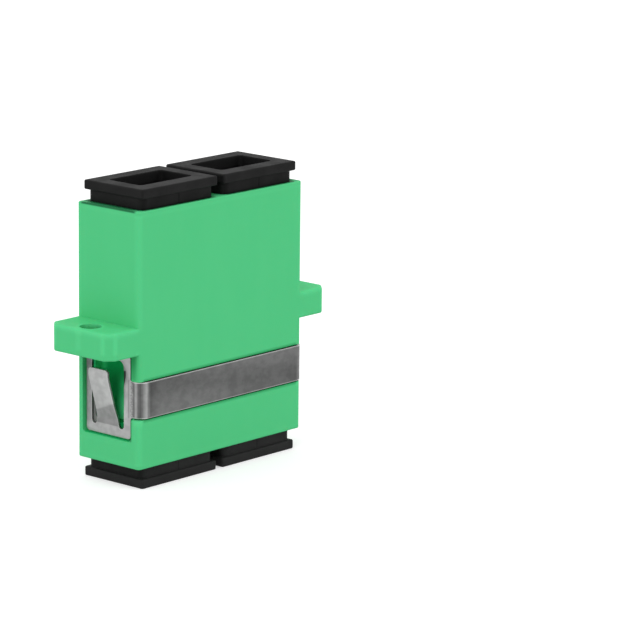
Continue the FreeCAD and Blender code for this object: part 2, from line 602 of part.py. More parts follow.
def make_latch_holder(doc, name, side, rotation):
    """The insert with two latch hooks and half of the sleeve's barrel."""
    body = new_body(doc, name, x=f"{side} * {HALF_PITCH}", z=MIDDLE, rotation=rotation)
    half_width = "(sizes.port_width / 2 - sizes.holder_gap)"
    half_depth = "(sizes.port_height / 2 - sizes.holder_gap)"

    plate = new_sketch(body, "plate_outline", offset=HALF_WEB)
    draw_rounded_box(plate, f"-{half_width}", half_width, f"-{half_depth}", half_depth, "sizes.port_corner")
    pad(plate, "plate", "sizes.plate_thickness")

    spigot = new_sketch(body, "spigot_outline", offset=HALF_WEB)
    draw_circle(spigot, "0", "0", "sizes.web_bore - 2 * sizes.spigot_gap")
    pad(spigot, "spigot", f"{HALF_WEB} - sizes.spigot_gap / 2", backwards=True)

    barrel = new_sketch(body, "barrel_outline", offset=PLATE_TOP)
    draw_circle(barrel, "0", "0", BARREL_OUTER)
    pad(barrel, "barrel", f"{BARREL_TIP} - {PLATE_TOP}")

    arm_out = "(sizes.port_width / 2 - sizes.hook_flex)"
    arm_in = f"({arm_out} - sizes.hook_thickness)"
    barb_in = f"({arm_in} - sizes.barb_reach)"
    barb_start = f"({HOOK_TIP} - sizes.barb_length)"
    hooks = new_sketch(body, "hook_profiles", "XZ_Plane")
    for _, hand in LEFT_AND_RIGHT:
        draw_outline(hooks, [(f"{hand} * {x}", z) for x, z in (
            (arm_out, PLATE_TOP), (arm_out, HOOK_TIP), (arm_in, HOOK_TIP), (barb_in, f"({HOOK_TIP} - sizes.barb_reach)"),
            (barb_in, barb_start), (arm_in, barb_start), (arm_in, PLATE_TOP))])
    pad(hooks, "hooks", "sizes.hook_width", both_ways=True)

    seat = new_sketch(body, "sleeve_seat_outline")
    draw_circle(seat, "0", "0", "sizes.sleeve_outer + 2 * sizes.sleeve_gap")
    pocket(seat, "sleeve_seat", SLEEVE_SEAT, backwards=True)
    lip = new_sketch(body, "lip_outline")
    draw_circle(lip, "0", "0", "sizes.sleeve_bore + 2 * sizes.lip_gap")
    pocket(lip, "ferrule_hole", f"{BARREL_TIP} + {OVERCUT}", backwards=True)

    lip_radius = number(doc, "sizes.sleeve_bore / 2 + sizes.lip_gap")
    barrel_tip = number(doc, BARREL_TIP)
    blend_edges(body, "lead_in", "Chamfer", "sizes.lip_chamfer",
                lambda edge: lies_at(edge, "z", barrel_tip) and abs(edge.BoundBox.XMax - lip_radius) < SAME_PLACE)
    return body


def make_dust_cap(doc, name, side, rotation, stand):
    """The black cap: head, step, plug and two blades that close the key slots."""
    body = new_body(doc, name, x=f"{side} * {HALF_PITCH}", z=stand, rotation=rotation)
    head_x, head_y = "sizes.head_width / 2", "sizes.head_depth / 2"
    neck_x, neck_y = f"({head_x} - sizes.neck_step)", f"({head_y} - sizes.neck_step)"
    plug_x = "(sizes.port_width / 2 - sizes.plug_gap)"
    plug_y = "(sizes.port_height / 2 - sizes.plug_gap)"
    blade_y = f"({BARREL_OUTER} / 2 + sizes.barrel_gap)"

    head = new_sketch(body, "head_outline", offset="sizes.neck_height")
    draw_rounded_box(head, f"-{head_x}", head_x, f"-{head_y}", head_y, "sizes.cap_corner")
    pad(head, "head", "sizes.head_thickness")
    head_low = number(doc, "sizes.neck_height")
    head_high = number(doc, CAP_STAND)
    blend_edges(body, "head_rims", "Fillet", "sizes.cap_round",
                lambda edge: lies_at(edge, "z", head_low) or lies_at(edge, "z", head_high))

    neck = new_sketch(body, "neck_outline")
    draw_rounded_box(neck, f"-{neck_x}", neck_x, f"-{neck_y}", neck_y, "sizes.neck_corner")
    pad(neck, "neck", "sizes.neck_height + sizes.head_thickness / 2")

    plug = new_sketch(body, "plug_outline")
    draw_rounded_box(plug, f"-{plug_x}", plug_x, f"-{plug_y}", plug_y, "sizes.port_corner")
    pad(plug, "plug", PLUG_DEPTH, backwards=True)

    blades = new_sketch(body, "blade_outlines", offset=f"-{PLUG_DEPTH}")
    blade_x = f"({plug_x} - sizes.port_corner)"
    draw_box(blades, f"-{blade_x}", blade_x, f"-{plug_y}", f"-{blade_y}")
    draw_box(blades, f"-{blade_x}", blade_x, blade_y, plug_y)
    pad(blades, "blades", f"{BLADE_DEPTH} - {PLUG_DEPTH}", backwards=True)
    blade_end = -number(doc, BLADE_DEPTH)
    blade_face = number(doc, plug_y)
    blend_edges(body, "blade_lead_in", "Chamfer", "sizes.blade_chamfer",
                lambda edge: lies_at(edge, "z", blade_end) and abs(abs(edge.CenterOfMass.y) - blade_face) < SAME_PLACE)

    grip = new_sketch(body, "grip_outline", offset=CAP_STAND)
    draw_rounded_box(grip, "-sizes.grip_width / 2", "sizes.grip_width / 2",
                     "-sizes.grip_depth / 2", "sizes.grip_depth / 2", "sizes.grip_corner")
    recess = pocket(grip, "grip_recess", f"{CAP_STAND} + {PLUG_DEPTH} - sizes.grip_floor")
    recess.setExpression("TaperAngle", "-sizes.grip_draft")
    body.Document.recompute()

    seams = new_sketch(body, "seam_outlines")
    half_seam = "sizes.seam_width / 2"
    draw_box(seams, f"-{half_seam}", half_seam, f"-({neck_y} + {OVERCUT})", f"-({neck_y} - sizes.seam_depth)")
    draw_box(seams, f"-{half_seam}", half_seam, f"({neck_y} - sizes.seam_depth)", f"({neck_y} + {OVERCUT})")
    pocket(seams, "mould_lines", "sizes.neck_height", backwards=True)
    return body


def make_all(doc):
    """Every separate piece of the adapter."""
    pieces = [make_housing(doc), make_spring_clip(doc)]
    for hand, side in LEFT_AND_RIGHT:
        pieces.append(make_split_sleeve(doc, f"split_sleeve_{hand}", side))
        for end, rotation, up in TOP_AND_BOTTOM:
            pieces.append(make_latch_holder(doc, f"latch_holder_{end}_{hand}", side, rotation))
            stand = f"({MIDDLE} + {up} * {HALF_BODY})"
            pieces.append(make_dust_cap(doc, f"dust_cap_{end}_{hand}", side, rotation, stand))
    return pieces


def check_document(doc, pieces):
    """Stops if anything failed to build."""
    for item in doc.Objects:
        if {"Invalid", "Error"} & set(item.State):
            raise RuntimeError(f"{item.Label} did not build: {item.State}")
    for piece in pieces:
        if piece.Shape.isNull() or not piece.Shape.isValid():
            raise RuntimeError(f"{piece.Label} has no valid shape")
        if len(piece.Shape.Solids) != 1:
            raise RuntimeError(f"{piece.Label} has {len(piece.Shape.Solids)} solids")


def main():
    doc = FreeCAD.newDocument("fibre_adapter")
    make_sizes(doc)
    pieces = make_all(doc)
    doc.recompute()
    check_document(doc, pieces)
    os.makedirs("parts", exist_ok=True)
    for piece in pieces:
        piece.Shape.exportStep(f"parts/{piece.Label}.step")
        box = piece.Shape.BoundBox
        print(f"{piece.Label:26s} volume {piece.Shape.Volume:8.2f} mm3  "
              f"x {box.XMin:7.2f} {box.XMax:7.2f}  y {box.YMin:6.2f} {box.YMax:6.2f}  z {box.ZMin:6.2f} {box.ZMax:6.2f}")


main()
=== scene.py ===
"""Looks of the twin fibre adapter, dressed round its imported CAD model."""

import functools
import logging
import math
from dataclasses import dataclass, field
from enum import Enum
from typing import Any, Callable, Iterator

import bmesh
import bpy
from mathutils import Matrix, Vector


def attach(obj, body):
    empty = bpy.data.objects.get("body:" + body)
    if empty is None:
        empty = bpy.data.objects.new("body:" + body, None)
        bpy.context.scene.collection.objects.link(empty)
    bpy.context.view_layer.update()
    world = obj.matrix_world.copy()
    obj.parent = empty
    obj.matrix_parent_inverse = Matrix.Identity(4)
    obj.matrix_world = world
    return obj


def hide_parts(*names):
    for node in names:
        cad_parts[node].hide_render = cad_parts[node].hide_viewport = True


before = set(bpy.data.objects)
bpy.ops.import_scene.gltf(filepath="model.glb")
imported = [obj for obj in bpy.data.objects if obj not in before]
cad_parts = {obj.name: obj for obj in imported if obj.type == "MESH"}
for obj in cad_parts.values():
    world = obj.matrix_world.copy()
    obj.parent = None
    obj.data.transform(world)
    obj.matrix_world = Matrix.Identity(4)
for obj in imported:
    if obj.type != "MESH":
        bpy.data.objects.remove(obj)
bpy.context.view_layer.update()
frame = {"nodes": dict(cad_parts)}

log = logging.getLogger("fibre_adapter")

MM = 0.001
MIDDLE = 16.45  # height of the housing's middle, in millimetres
Colour = tuple[float, float, float]
Point = tuple[float, float]
Place = tuple[float, float, float]
Limit = tuple[float, ...]


class Hand(Enum):
    """The two halves of the adapter, as seen from the strap's side."""

    LEFT = -1
    RIGHT = 1


class End(Enum):
    """The two ends that take plugs."""

    TOP = 1
    BOTTOM = -1


class Tree:
    """Adds and joins the nodes of one shader tree."""

    def __init__(self, tree: bpy.types.NodeTree) -> None:
        """Takes over a tree.

        Args:
            tree: The material's, world's or group's node tree.
        """
        self.tree = tree

    def feed(self, socket: bpy.types.NodeSocket, value: Any) -> None:
        """Sets an input, or joins it to an output.

        Args:
            socket: The input.
            value: A plain value, or the output socket that feeds the input.
        """
        if isinstance(value, bpy.types.NodeSocket):
            self.tree.links.new(value, socket)
        else:
            socket.default_value = value

    def fill(self, node: bpy.types.Node, inputs: dict[str | int, Any]) -> None:
        """Sets or joins several inputs of a node, given by their names or numbers."""
        for name, value in inputs.items():
            self.feed(node.inputs[name], value)

    def add(self, kind: str, inputs: dict[str | int, Any] | None = None,
            **settings: Any) -> bpy.types.Node:
        """Adds a node.

        Args:
            kind: The node's type.
            inputs: What goes into each input, by the input's name or number.
            settings: The node's own properties.

        Returns:
            The node.
        """
        node = self.tree.nodes.new(kind)
        for name, setting in settings.items():
            setattr(node, name, setting)
        self.fill(node, inputs or {})
        return node

    def math(self, operation: str, *values: Any, clamp: bool = False) -> bpy.types.NodeSocket:
        """Adds a sum on numbers.

        Args:
            operation: The Math node's operation.
            values: Its inputs, in order.
            clamp: Whether the result is kept between 0 and 1.

        Returns:
            The result's socket.
        """
        node = self.add("ShaderNodeMath", dict(enumerate(values)), operation=operation, use_clamp=clamp)
        return node.outputs[0]

    def product(self, *values: Any) -> Any:
        """Multiplies numbers, such as masks that all have to hold."""
        return functools.reduce(lambda first, second: self.math("MULTIPLY", first, second), values)

    def blend(self, share: Any, first: Any, second: Any) -> bpy.types.NodeSocket:
        """Mixes two colours.

        Args:
            share: How much of the second colour there is.
            first: The colour at 0.
            second: The colour at 1.

        Returns:
            The mixed colour's socket.
        """
        mix = self.add("ShaderNodeMix", data_type="RGBA")
        colours = [socket for socket in mix.inputs if socket.type == "RGBA"]
        self.feed(mix.inputs[0], share)
        self.feed(colours[0], opaque(first))
        self.feed(colours[1], opaque(second))
        return next(socket for socket in mix.outputs if socket.type == "RGBA")

    def ramp(self, value: Any, low: Any, high: Any, to_low: Any = 0.0,
             to_high: Any = 1.0) -> bpy.types.NodeSocket:
        """Maps a range of values smoothly onto another.

        Args:
            value: The value to map.
            low: Where the range starts.
            high: Where the range ends.
            to_low: What the start becomes.
            to_high: What the end becomes.

        Returns:
            The mapped value's socket.
        """
        ends = {"Value": value, "From Min": low, "From Max": high, "To Min": to_low, "To Max": to_high}
        return self.add("ShaderNodeMapRange", ends, interpolation_type="SMOOTHSTEP").outputs[0]

    def noise(self, where: Any, scale: Any, detail: float = 2.0,
              roughness: float = 0.5) -> bpy.types.NodeSocket:
        """Adds a noise.

        Args:
            where: The coordinates.
            scale: Cells per unit of those coordinates.
            detail: The number of finer layers.
            roughness: How strong the finer layers are.

        Returns:
            The noise's value, from 0 to 1.
        """
        inputs = {"Vector": where, "Scale": scale, "Detail": detail, "Roughness": roughness}
        return self.add("ShaderNodeTexNoise", inputs).outputs[0]

    def seen(self) -> bpy.types.NodeSocket:
        """Tells the camera's rays, and those that a mirror or a clear body sends on, from the light's rays.

        Returns:
            A number that is 1 for those rays and 0 for the light's.
        """
        path = self.add("ShaderNodeLightPath").outputs
        return self.math("ADD", self.math("ADD", path["Is Camera Ray"], path["Is Glossy Ray"]),
                         path["Is Transmission Ray"], clamp=True)


def opaque(colour: Any) -> Any:
    """Gives a plain colour its fourth number, and leaves a socket alone."""
    return (*colour, 1.0) if isinstance(colour, tuple) and len(colour) == 3 else colour


@dataclass(frozen=True)
class Effect:
    """A surface effect that several materials share, as one node group.

    Attributes:
        name: The group's name.
        inputs: Each input with its type and first value.
        outputs: Each output with its type.
        wire: Fills the group: it takes the tree and the inputs' sockets, and gives back what
            each output shows.
    """

    name: str
    inputs: dict[str, tuple[str, Any]]
    outputs: dict[str, str]
    wire: Callable[[Tree, Any], dict[str, Any]]

    def group(self) -> bpy.types.NodeTree:
        """Builds the group once, and finds it again later.

        Returns:
            The node group.
        """
        known = bpy.data.node_groups.get(self.name)
        if known:
            return known
        made = bpy.data.node_groups.new(self.name, "ShaderNodeTree")
        for title, (kind, value) in self.inputs.items():
            socket = made.interface.new_socket(title, in_out="INPUT", socket_type=kind)
            socket.default_value = value
        for title, kind in self.outputs.items():
            made.interface.new_socket(title, in_out="OUTPUT", socket_type=kind)
        tree = Tree(made)
        given = tree.add("NodeGroupInput").outputs
        tree.add("NodeGroupOutput", self.wire(tree, given))
        return made

    def place(self, tree: Tree, **values: Any) -> Any:
        """Puts the effect into a material.

        Args:
            tree: The material's tree.
            values: The effect's inputs, by their names.

        Returns:
            The group's outputs.
        """
        return tree.add("ShaderNodeGroup", values, node_tree=self.group()).outputs


FLOAT = "NodeSocketFloat"
VECTOR = "NodeSocketVector"


def surface_point(tree: Tree) -> bpy.types.NodeSocket:
    """The place on the piece, in metres, which stays with the piece when it moves."""
    return tree.add("ShaderNodeTexCoord").outputs["Object"]


def wire_soft_edge(tree: Tree, given: Any) -> dict[str, Any]:
    """Finds convex edges for painted highlights, from how soon a ray inside the wall meets the next face.

    Faces that look up or down count less.

    Args:
        tree: The group's tree.
        given: The group's inputs.

    Returns:
        What each output shows.
    """
    inside = tree.add("ShaderNodeAmbientOcclusion", {"Distance": given["Reach"]}, samples=8,
                      inside=True, only_local=True)
    normal = tree.add("ShaderNodeTexCoord").outputs["Normal"]
    upward = tree.add("ShaderNodeSeparateXYZ", {0: normal}).outputs[2]
    found = tree.ramp(inside.outputs["AO"], 1.0, given["Full"])
    not_down, not_up = tree.ramp(upward, -0.8, 0.0, 0.3, 1.0), tree.ramp(upward, 0.4, 1.0, 1.0, 0.6)
    return {"Mask": tree.product(found, not_down, not_up)}


def wire_sheltered(tree: Tree, given: Any) -> dict[str, Any]:
    """Finds inner corners and pockets, where light is lost."""
    outside = tree.add("ShaderNodeAmbientOcclusion", {"Distance": given["Reach"]}, samples=8)
    return {"Mask": tree.ramp(outside.outputs["AO"], given["Start"], given["Full"])}


def wire_rounding(tree: Tree, given: Any) -> dict[str, Any]:
    """Turns the normal at sharp edges as a small moulded or rolled radius would."""
    bevel = tree.add("ShaderNodeBevel", {"Radius": given["Radius"]}, samples=6)
    return {"Normal": bevel.outputs[0]}


def cells(tree: Tree, given: Any) -> tuple[Any, Any]:
    """Prepares a pattern of small cells.

    Args:
        tree: The group's tree.
        given: The group's inputs, with the cells' Size and Stretch.

    Returns:
        The stretched place on the piece, and the number of cells in a metre.
    """
    inputs = {0: surface_point(tree), 1: given["Stretch"]}
    point = tree.add("ShaderNodeVectorMath", inputs, operation="MULTIPLY").outputs[0]
    return point, tree.math("DIVIDE", 1.0, given["Size"])


def wire_grain(tree: Tree, given: Any) -> dict[str, Any]:
    """Makes the fine grain of an eroded mould or a ground sheet.

    Args:
        tree: The group's tree.
        given: The group's inputs.

    Returns:
        What each output shows.
    """
    point, scale = cells(tree, given)
    coarse = tree.noise(point, scale, 3.0, 0.6)
    pits = tree.add("ShaderNodeTexVoronoi", {"Vector": point, "Scale": scale}).outputs["Distance"]
    height = tree.math("MULTIPLY_ADD", pits, 0.35, coarse)
    sparks = tree.ramp(tree.noise(point, tree.product(scale, 1.7), 1.0), 0.66, 0.78)
    return {"Height": height, "Sparks": sparks}


def wire_blotches(tree: Tree, given: Any) -> dict[str, Any]:
    """Makes broad, soft differences, such as flow in the melt or stains on steel."""
    value = tree.noise(*cells(tree, given), 3.0, 0.55)
    return {"Value": tree.ramp(value, 0.3, 0.7)}


SOFT_EDGE = Effect("soft_edge", {"Reach": (FLOAT, 0.5 * MM), "Full": (FLOAT, 0.5)}, {"Mask": FLOAT},
                   wire_soft_edge)
SHELTERED = Effect("sheltered_corner",
                   {"Reach": (FLOAT, 1.0 * MM), "Start": (FLOAT, 1.0), "Full": (FLOAT, 0.3)},
                   {"Mask": FLOAT}, wire_sheltered)
ROUNDING = Effect("small_rounding", {"Radius": (FLOAT, 0.1 * MM)}, {"Normal": VECTOR}, wire_rounding)
GRAIN = Effect("fine_grain", {"Size": (FLOAT, 0.2 * MM), "Stretch": (VECTOR, (1.0, 1.0, 1.0))},
               {"Height": FLOAT, "Sparks": FLOAT}, wire_grain)
BLOTCHES = Effect("blotches", {"Size": (FLOAT, 4.0 * MM), "Stretch": (VECTOR, (1.0, 1.0, 1.0))},
                  {"Value": FLOAT}, wire_blotches)


class Surface(Tree):
    """The shader tree of a piece's material, which also knows where on the part a point lies.

    Its places are in millimetres.

    Attributes:
        x: The point's place along the ears, from the middle, below 0 on the left.
        out: Its distance from the middle, both ways.
        y: Its Y.
        across: Its distance from Y = 0, both ways.
        height: Its height from the middle of the housing.
    """

    def __init__(self, tree: bpy.types.NodeTree, aside: float = 0.0) -> None:
        """Takes over a material's tree.

        Args:
            tree: The material's node tree.
            aside: X of the piece's own middle.
        """
        super().__init__(tree)
        inputs = {0: surface_point(self), "Scale": 1.0 / MM}
        point = self.add("ShaderNodeVectorMath", inputs, operation="SCALE").outputs[0]
        x, self.y, z = self.add("ShaderNodeSeparateXYZ", {0: point}).outputs
        self.x = self.math("SUBTRACT", x, aside)
        self.out = self.math("ABSOLUTE", self.x)
        self.across = self.math("ABSOLUTE", self.y)
        self.height = self.math("SUBTRACT", z, MIDDLE)

    def off(self, value: Any, middle: float) -> bpy.types.NodeSocket:
        """Distance of a coordinate from a middle, both ways."""
        return self.math("ABSOLUTE", self.math("SUBTRACT", value, middle))


def between(low: float, high: float, none: float, full: float) -> tuple[Limit, Limit]:
    """Limits of a stretch that starts at one distance beyond both its ends, and is full at another."""
    return (low - none, low - full), (high + none, high + full)


@dataclass(frozen=True)
class Zone:
    """A stretch of a piece with soft limits, and the colour that is painted on it.

    A limit is the place where the zone starts and the place where it is full, in millimetres. Two more
    numbers, where they are given, are its strength at both, in place of 0 and 1.

    Attributes:
        tint: The colour, which a zone that is only used as a mask doesn't need.
        share: How strong the zone is where it is full.
        out: The limits by the distance from the middle.
        y: The limits along Y.
        across: The limits by the distance from Y = 0.
        height: The limits by the height from the housing's middle.
    """

    tint: Any = (0.0, 0.0, 0.0)
    share: float = 1.0
    out: tuple[Limit, ...] = ()
    y: tuple[Limit, ...] = ()
    across: tuple[Limit, ...] = ()
    height: tuple[Limit, ...] = ()

    def mask(self, tree: Surface) -> Any:
        """Works out how far the point is in the zone.

        Args:
            tree: The material's tree.

        Returns:
            The zone's strength at the point.
        """
        along = ((tree.out, self.out), (tree.y, self.y), (tree.across, self.across),
                 (tree.height, self.height))
        masks = (tree.ramp(where, *limit) for where, limits in along for limit in limits)
        return tree.product(self.share, *masks)


def painted(tree: Surface, colour: Any, zones: tuple[Zone, ...]) -> Any:
    """Paints zones over a colour, one after the other.

    Args:
        tree: The material's tree.
        colour: The colour below.
        zones: The zones.

    Returns:
        The painted colour.
    """
    for zone in zones:
        colour = tree.blend(zone.mask(tree), colour, zone.tint)
    return colour


def new_material(name: str, aside: float = 0.0) -> tuple[bpy.types.Material, Surface, bpy.types.Node]:
    """Starts a material.

    Args:
        name: The material's name.
        aside: X of the piece's own middle, in millimetres.

    Returns:
        The material, its tree and its Principled shader.
    """
    material = bpy.data.materials.new(name)
    material.use_nodes = True
    return material, Surface(material.node_tree, aside), material.node_tree.nodes["Principled BSDF"]


@dataclass(frozen=True)
class MouldedPlastic:
    """A moulded plastic with a fine grain, painted highlights on its edges and painted shade in its corners.

    Attributes:
        name: The material's name.
        colour: The plastic's own colour.
        cloud: The colour of its paler flow marks.
        edge: The colour of the painted highlight at its edges, and of the grains that catch the light.
        shade: The colour of the painted shade in its pockets and inner corners.
        roughness: How matte it is.
        grain_size: Width of one grain, in millimetres.
        grain_height: Height of the grain, in millimetres.
        edge_reach: How far the painted edge highlight reaches, in millimetres.
        edge_share: How strong the painted edge highlight is.
        shade_reach: How far away the walls of a pocket may be, in millimetres.
        shade_start: How open a place is where the painted shade begins, from 0 to 1.
        shade_share: How strong the painted shade is.
        rounding: Radius of its sharpest edges, in millimetres.
        gloss: How strongly the skin reflects, as the shader's specular level.
        spark: How strongly single grains catch the light.
        depth: How much light spreads inside it.
    """

    name: str
    colour: Colour
    cloud: Colour
    edge: Colour
    shade: Colour
    roughness: float = 0.45
    grain_size: float = 0.12
    grain_height: float = 0.004
    edge_reach: float = 0.6
    edge_share: float = 0.8
    shade_reach: float = 1.2
    shade_start: float = 1.0
    shade_share: float = 0.35
    rounding: float = 0.12
    gloss: float = 0.3
    spark: float = 0.0
    depth: float = 0.0

    def bright_edge(self, tree: Surface, mask: Any) -> Any:
        """Where the painted edge highlight shows; a plain moulding shows it on each edge."""
        return mask

    def local_shade(self, tree: Surface, colour: Any) -> Any:
        """Painted light and shade that belong to one place; a plain moulding has none."""
        return colour

    def material(self) -> bpy.types.Material:
        """Builds the material.

        Returns:
            The material.
        """
        material, tree, shader = new_material(self.name)
        flow = BLOTCHES.place(tree, Size=6 * MM, Stretch=(1.6, 1.6, 0.45))["Value"]
        patch = BLOTCHES.place(tree, Size=2.2 * MM)["Value"]
        edge = SOFT_EDGE.place(tree, Reach=self.edge_reach * MM, Full=0.55)["Mask"]
        shelter = SHELTERED.place(tree, Reach=self.shade_reach * MM, Start=self.shade_start,
                                  Full=self.shade_start * 0.4)["Mask"]
        grain = GRAIN.place(tree, Size=self.grain_size * MM)
        colour = tree.blend(tree.product(flow, 0.6), self.colour, self.cloud)
        # painted highlight on the edges
        colour = tree.blend(tree.product(self.bright_edge(tree, edge), self.edge_share), colour, self.edge)
        # painted shade in pockets and inner corners
        colour = tree.blend(tree.product(shelter, self.shade_share), colour, self.shade)
        # painted glints where single grains catch the light, in the edge colour
        colour = tree.blend(tree.product(grain["Sparks"], self.spark), colour, self.edge)
        rounded = ROUNDING.place(tree, Radius=self.rounding * MM)["Normal"]
        bump = tree.add("ShaderNodeBump", {"Strength": 0.6, "Distance": self.grain_height * MM,
                                           "Height": grain["Height"], "Normal": rounded})
        tree.fill(shader, {
            "Base Color": self.local_shade(tree, colour), "Normal": bump.outputs[0],
            "Roughness": tree.ramp(patch, 0.0, 1.0, self.roughness - 0.04, self.roughness + 0.05),
            "Specular IOR Level": self.gloss, "Subsurface Weight": self.depth, "Subsurface Scale": 0.6 * MM})
        return material


@dataclass(frozen=True)
class HousingPlastic(MouldedPlastic):
    """The housing's plastic, with painted shade round the clip, under the ears and round the caps' necks,
    and painted light in the clip's seat.

    Heights are taken from the middle of the housing. All sizes are in millimetres.

    Attributes:
        hollow: The painted shade in the pocket behind a tongue.
        deep: The painted deeper shade low in that pocket.
        glow: The painted light in that pocket, where light comes through a thin wall, and on the seat's
            lower ledge.
        bright: The painted light low in the front of that pocket.
        lit: The painted light in the thin lip behind a side frame, where light comes through.
        mirrored: The painted reflection in the lower pocket behind the window, where the steel mirrors
            itself.
        gap: The painted shade along the gaps beside the clip and round the necks.
        half_height: Half the housing's height.
        plain_ends: Height beyond which edges get no painted highlight.
        side: Distance of the narrow sides from the middle.
        ear: The ears' reach, the housing's half depth, and the cut at the ears' corners.
        ear_under: Height of the ears' lower faces.
        strap_top: Height of the upper edge of the strap's seat.
        strap_bottom: Height of its lower edge.
        seat_front: Y of the front edge of a side seat.
        seat_back: Y of its back edge.
        seat_top: Height of its upper edge.
        seat_bottom: Height of its lower edge.
    """

    hollow: Colour = (0.0, 0.4, 0.095)
    deep: Colour = (0.0, 0.25, 0.06)
    glow: Colour = (0.03, 0.62, 0.2)
    bright: Colour = (0.13, 1.0, 0.42)
    lit: Colour = (0.07, 0.55, 0.21)
    mirrored: Colour = (0.24, 0.245, 0.24)
    gap: Colour = (0.0, 0.05, 0.015)
    half_height: float = 14.15
    plain_ends: float = 13.5
    side: float = 13.0
    ear: tuple[float, float, float] = (17.5, 4.65, 1.0)
    ear_under: float = -1.5
    strap_top: float = -4.415
    strap_bottom: float = -8.705
    seat_front: float = -3.4
    seat_back: float = 3.85
    seat_top: float = -1.65
    seat_bottom: float = -11.25

    def ear_edges(self) -> tuple[Zone, Zone]:
        """Painted highlights on the blunt upright edges of the ears' cut corners, which a ray inside the
        wall hardly finds.

        Returns:
            The edge on the ears' ends and the one on their wide faces.
        """
        reach, depth, cut = self.ear
        end_edge = between(depth - cut, depth - cut, 0.5, 0.05)
        face_edge = between(reach - cut, reach - cut, 0.45, 0.05)
        return (Zone(share=0.6, out=((reach - 0.3, reach - 0.1),), across=end_edge),
                Zone(share=0.6, out=face_edge, across=((depth - 0.3, depth - 0.1),)))

    def plain_edges(self) -> tuple[Zone, ...]:
        """The stretches whose edges get no painted highlight.

        Returns:
            Those round the strap, round a side seat, under an ear, and between the ear and the strap.
        """
        side, under, pillar = self.side, self.ear_under, (self.ear_under + self.strap_top) / 2
        strap = between(self.strap_bottom, self.strap_top, 0.9, 0.5)
        seat = between(self.seat_bottom, self.seat_top, 0.7, 0.3)
        seat_width = between(self.seat_front, self.seat_back, 0.65, 0.3)
        return (Zone(out=((12.5, 12.1),), y=((-3.9, -4.3),), height=strap),
                Zone(out=((side + 0.3, side + 0.1),), y=seat_width, height=seat),
                Zone(out=((side + 0.2, side + 0.6),), height=between(under, under, 0.9, 0.5)),
                Zone(out=((side + 0.2, side), (12.0, 12.5)), height=between(pillar, pillar, 1.8, 1.2)))

    def bright_edge(self, tree: Surface, mask: Any) -> Any:
        """Leaves the painted edge highlight out at both ends and round the clip's seat, and adds it on the
        ears' cut corners.

        Args:
            tree: The material's tree.
            mask: The mask of all edges.

        Returns:
            The mask of the bright ones.
        """
        for edge in self.ear_edges():
            mask = tree.math("MAXIMUM", mask, edge.mask(tree))
        kept = (tree.math("SUBTRACT", 1.0, zone.mask(tree)) for zone in self.plain_edges())
        middle = Zone(height=between(-self.plain_ends, self.plain_ends, 0.4, 0.0))
        return tree.product(mask, middle.mask(tree), *kept)

    def pocket_zones(self) -> tuple[Zone, ...]:
        """The painted shade, light and reflection in the pocket behind a tongue.

        Returns:
            The zones, in the order of painting.
        """
        front, back = ((0.4, -0.9),), ((1.4, 2.1),)
        above_floor = (-9.5, -9.3)
        return (Zone(self.deep, height=((-3.3, -5.2),)),
                Zone(self.glow, y=back, height=((-4.6, -3.9),)),
                Zone(self.glow, 0.9, y=front, height=((-3.8, -5.5), above_floor)),
                Zone(self.bright, 0.9, y=front, height=((-6.0, -8.5), above_floor)),
                Zone(self.shade, height=((-9.4, -9.6),)),
                Zone(self.mirrored, y=back, height=((-4.3, -5.0),)))

    def clip_zones(self, hollow: Any) -> tuple[Zone, ...]:
        """What is painted round the clip.

        Args:
            hollow: The painted colour of the pocket.

        Returns:
            The zones, in the order of painting.
        """
        side, under, strap = self.side, self.ear_under, self.strap_top
        front, back, low, high = self.seat_front, self.seat_back, self.seat_bottom, self.seat_top
        strap_middle = (self.strap_bottom + strap) / 2
        # painted shade along the edges of the strap's seat
        lip = Zone(self.shade, 0.6, out=((12.6, 12.0),), y=((-4.2, -4.5),),
                   height=between(self.strap_bottom, strap, 0.4, 0.0))
        # painted shade on the pillar under an ear
        under_ear = Zone(self.shade, 0.65, out=((side - 0.6, side - 0.5), (side + 0.1, side + 0.05)),
                         y=((-4.75, -3.85), (front + 0.1, front)),
                         height=((under + 0.05, under - 0.05), (strap - 0.1, strap + 0.3),
                                 (strap, under - 0.5, 0.6, 1.0)))
        # painted shade in the gap at a side frame's front edge
        beside = Zone(self.gap, out=((side - 0.1, side),),
                      y=((front - 0.18, front - 0.12), (front + 0.1, front + 0.04)),
                      height=(*between(low, high, 0.05, -0.2), (strap_middle, strap, 0.6, 0.95)))
        # the pocket's painted shade, light and reflection
        pocket = Zone(hollow, 0.98, out=((side - 0.4, side - 0.5), (side - 2.0, side - 1.9)),
                      y=((front - 0.05, front + 0.05), (back - 0.65, back - 0.85)),
                      height=between(low, high, 0.1, 0.0))
        # painted light on the seat's lower ledge
        ledge = Zone(self.glow, out=((side - 1.0, side - 0.7), (side, side - 0.03)),
                     y=between(front, back, 0.1, 0.0), height=between(low, low, 0.12, 0.06))
        # painted light in the thin lip behind a side frame
        behind = Zone(self.lit, out=((side - 0.9, side - 0.8), (side, side - 0.02)),
                      y=((back - 0.5, back - 0.35), (back + 0.05, back + 0.01)),
                      height=between(low, high, 0.0, -0.2))
        return lip, under_ear, beside, pocket, ledge, behind

    def local_shade(self, tree: Surface, colour: Any) -> Any:
        """Adds the painted shade and light round the clip, and the painted shade under the ears and round
        the necks.

        Args:
            tree: The material's tree.
            colour: The colour without it.

        Returns:
            The shaded colour.
        """
        hollow = painted(tree, self.hollow, self.pocket_zones())
        colour = painted(tree, colour, self.clip_zones(hollow))
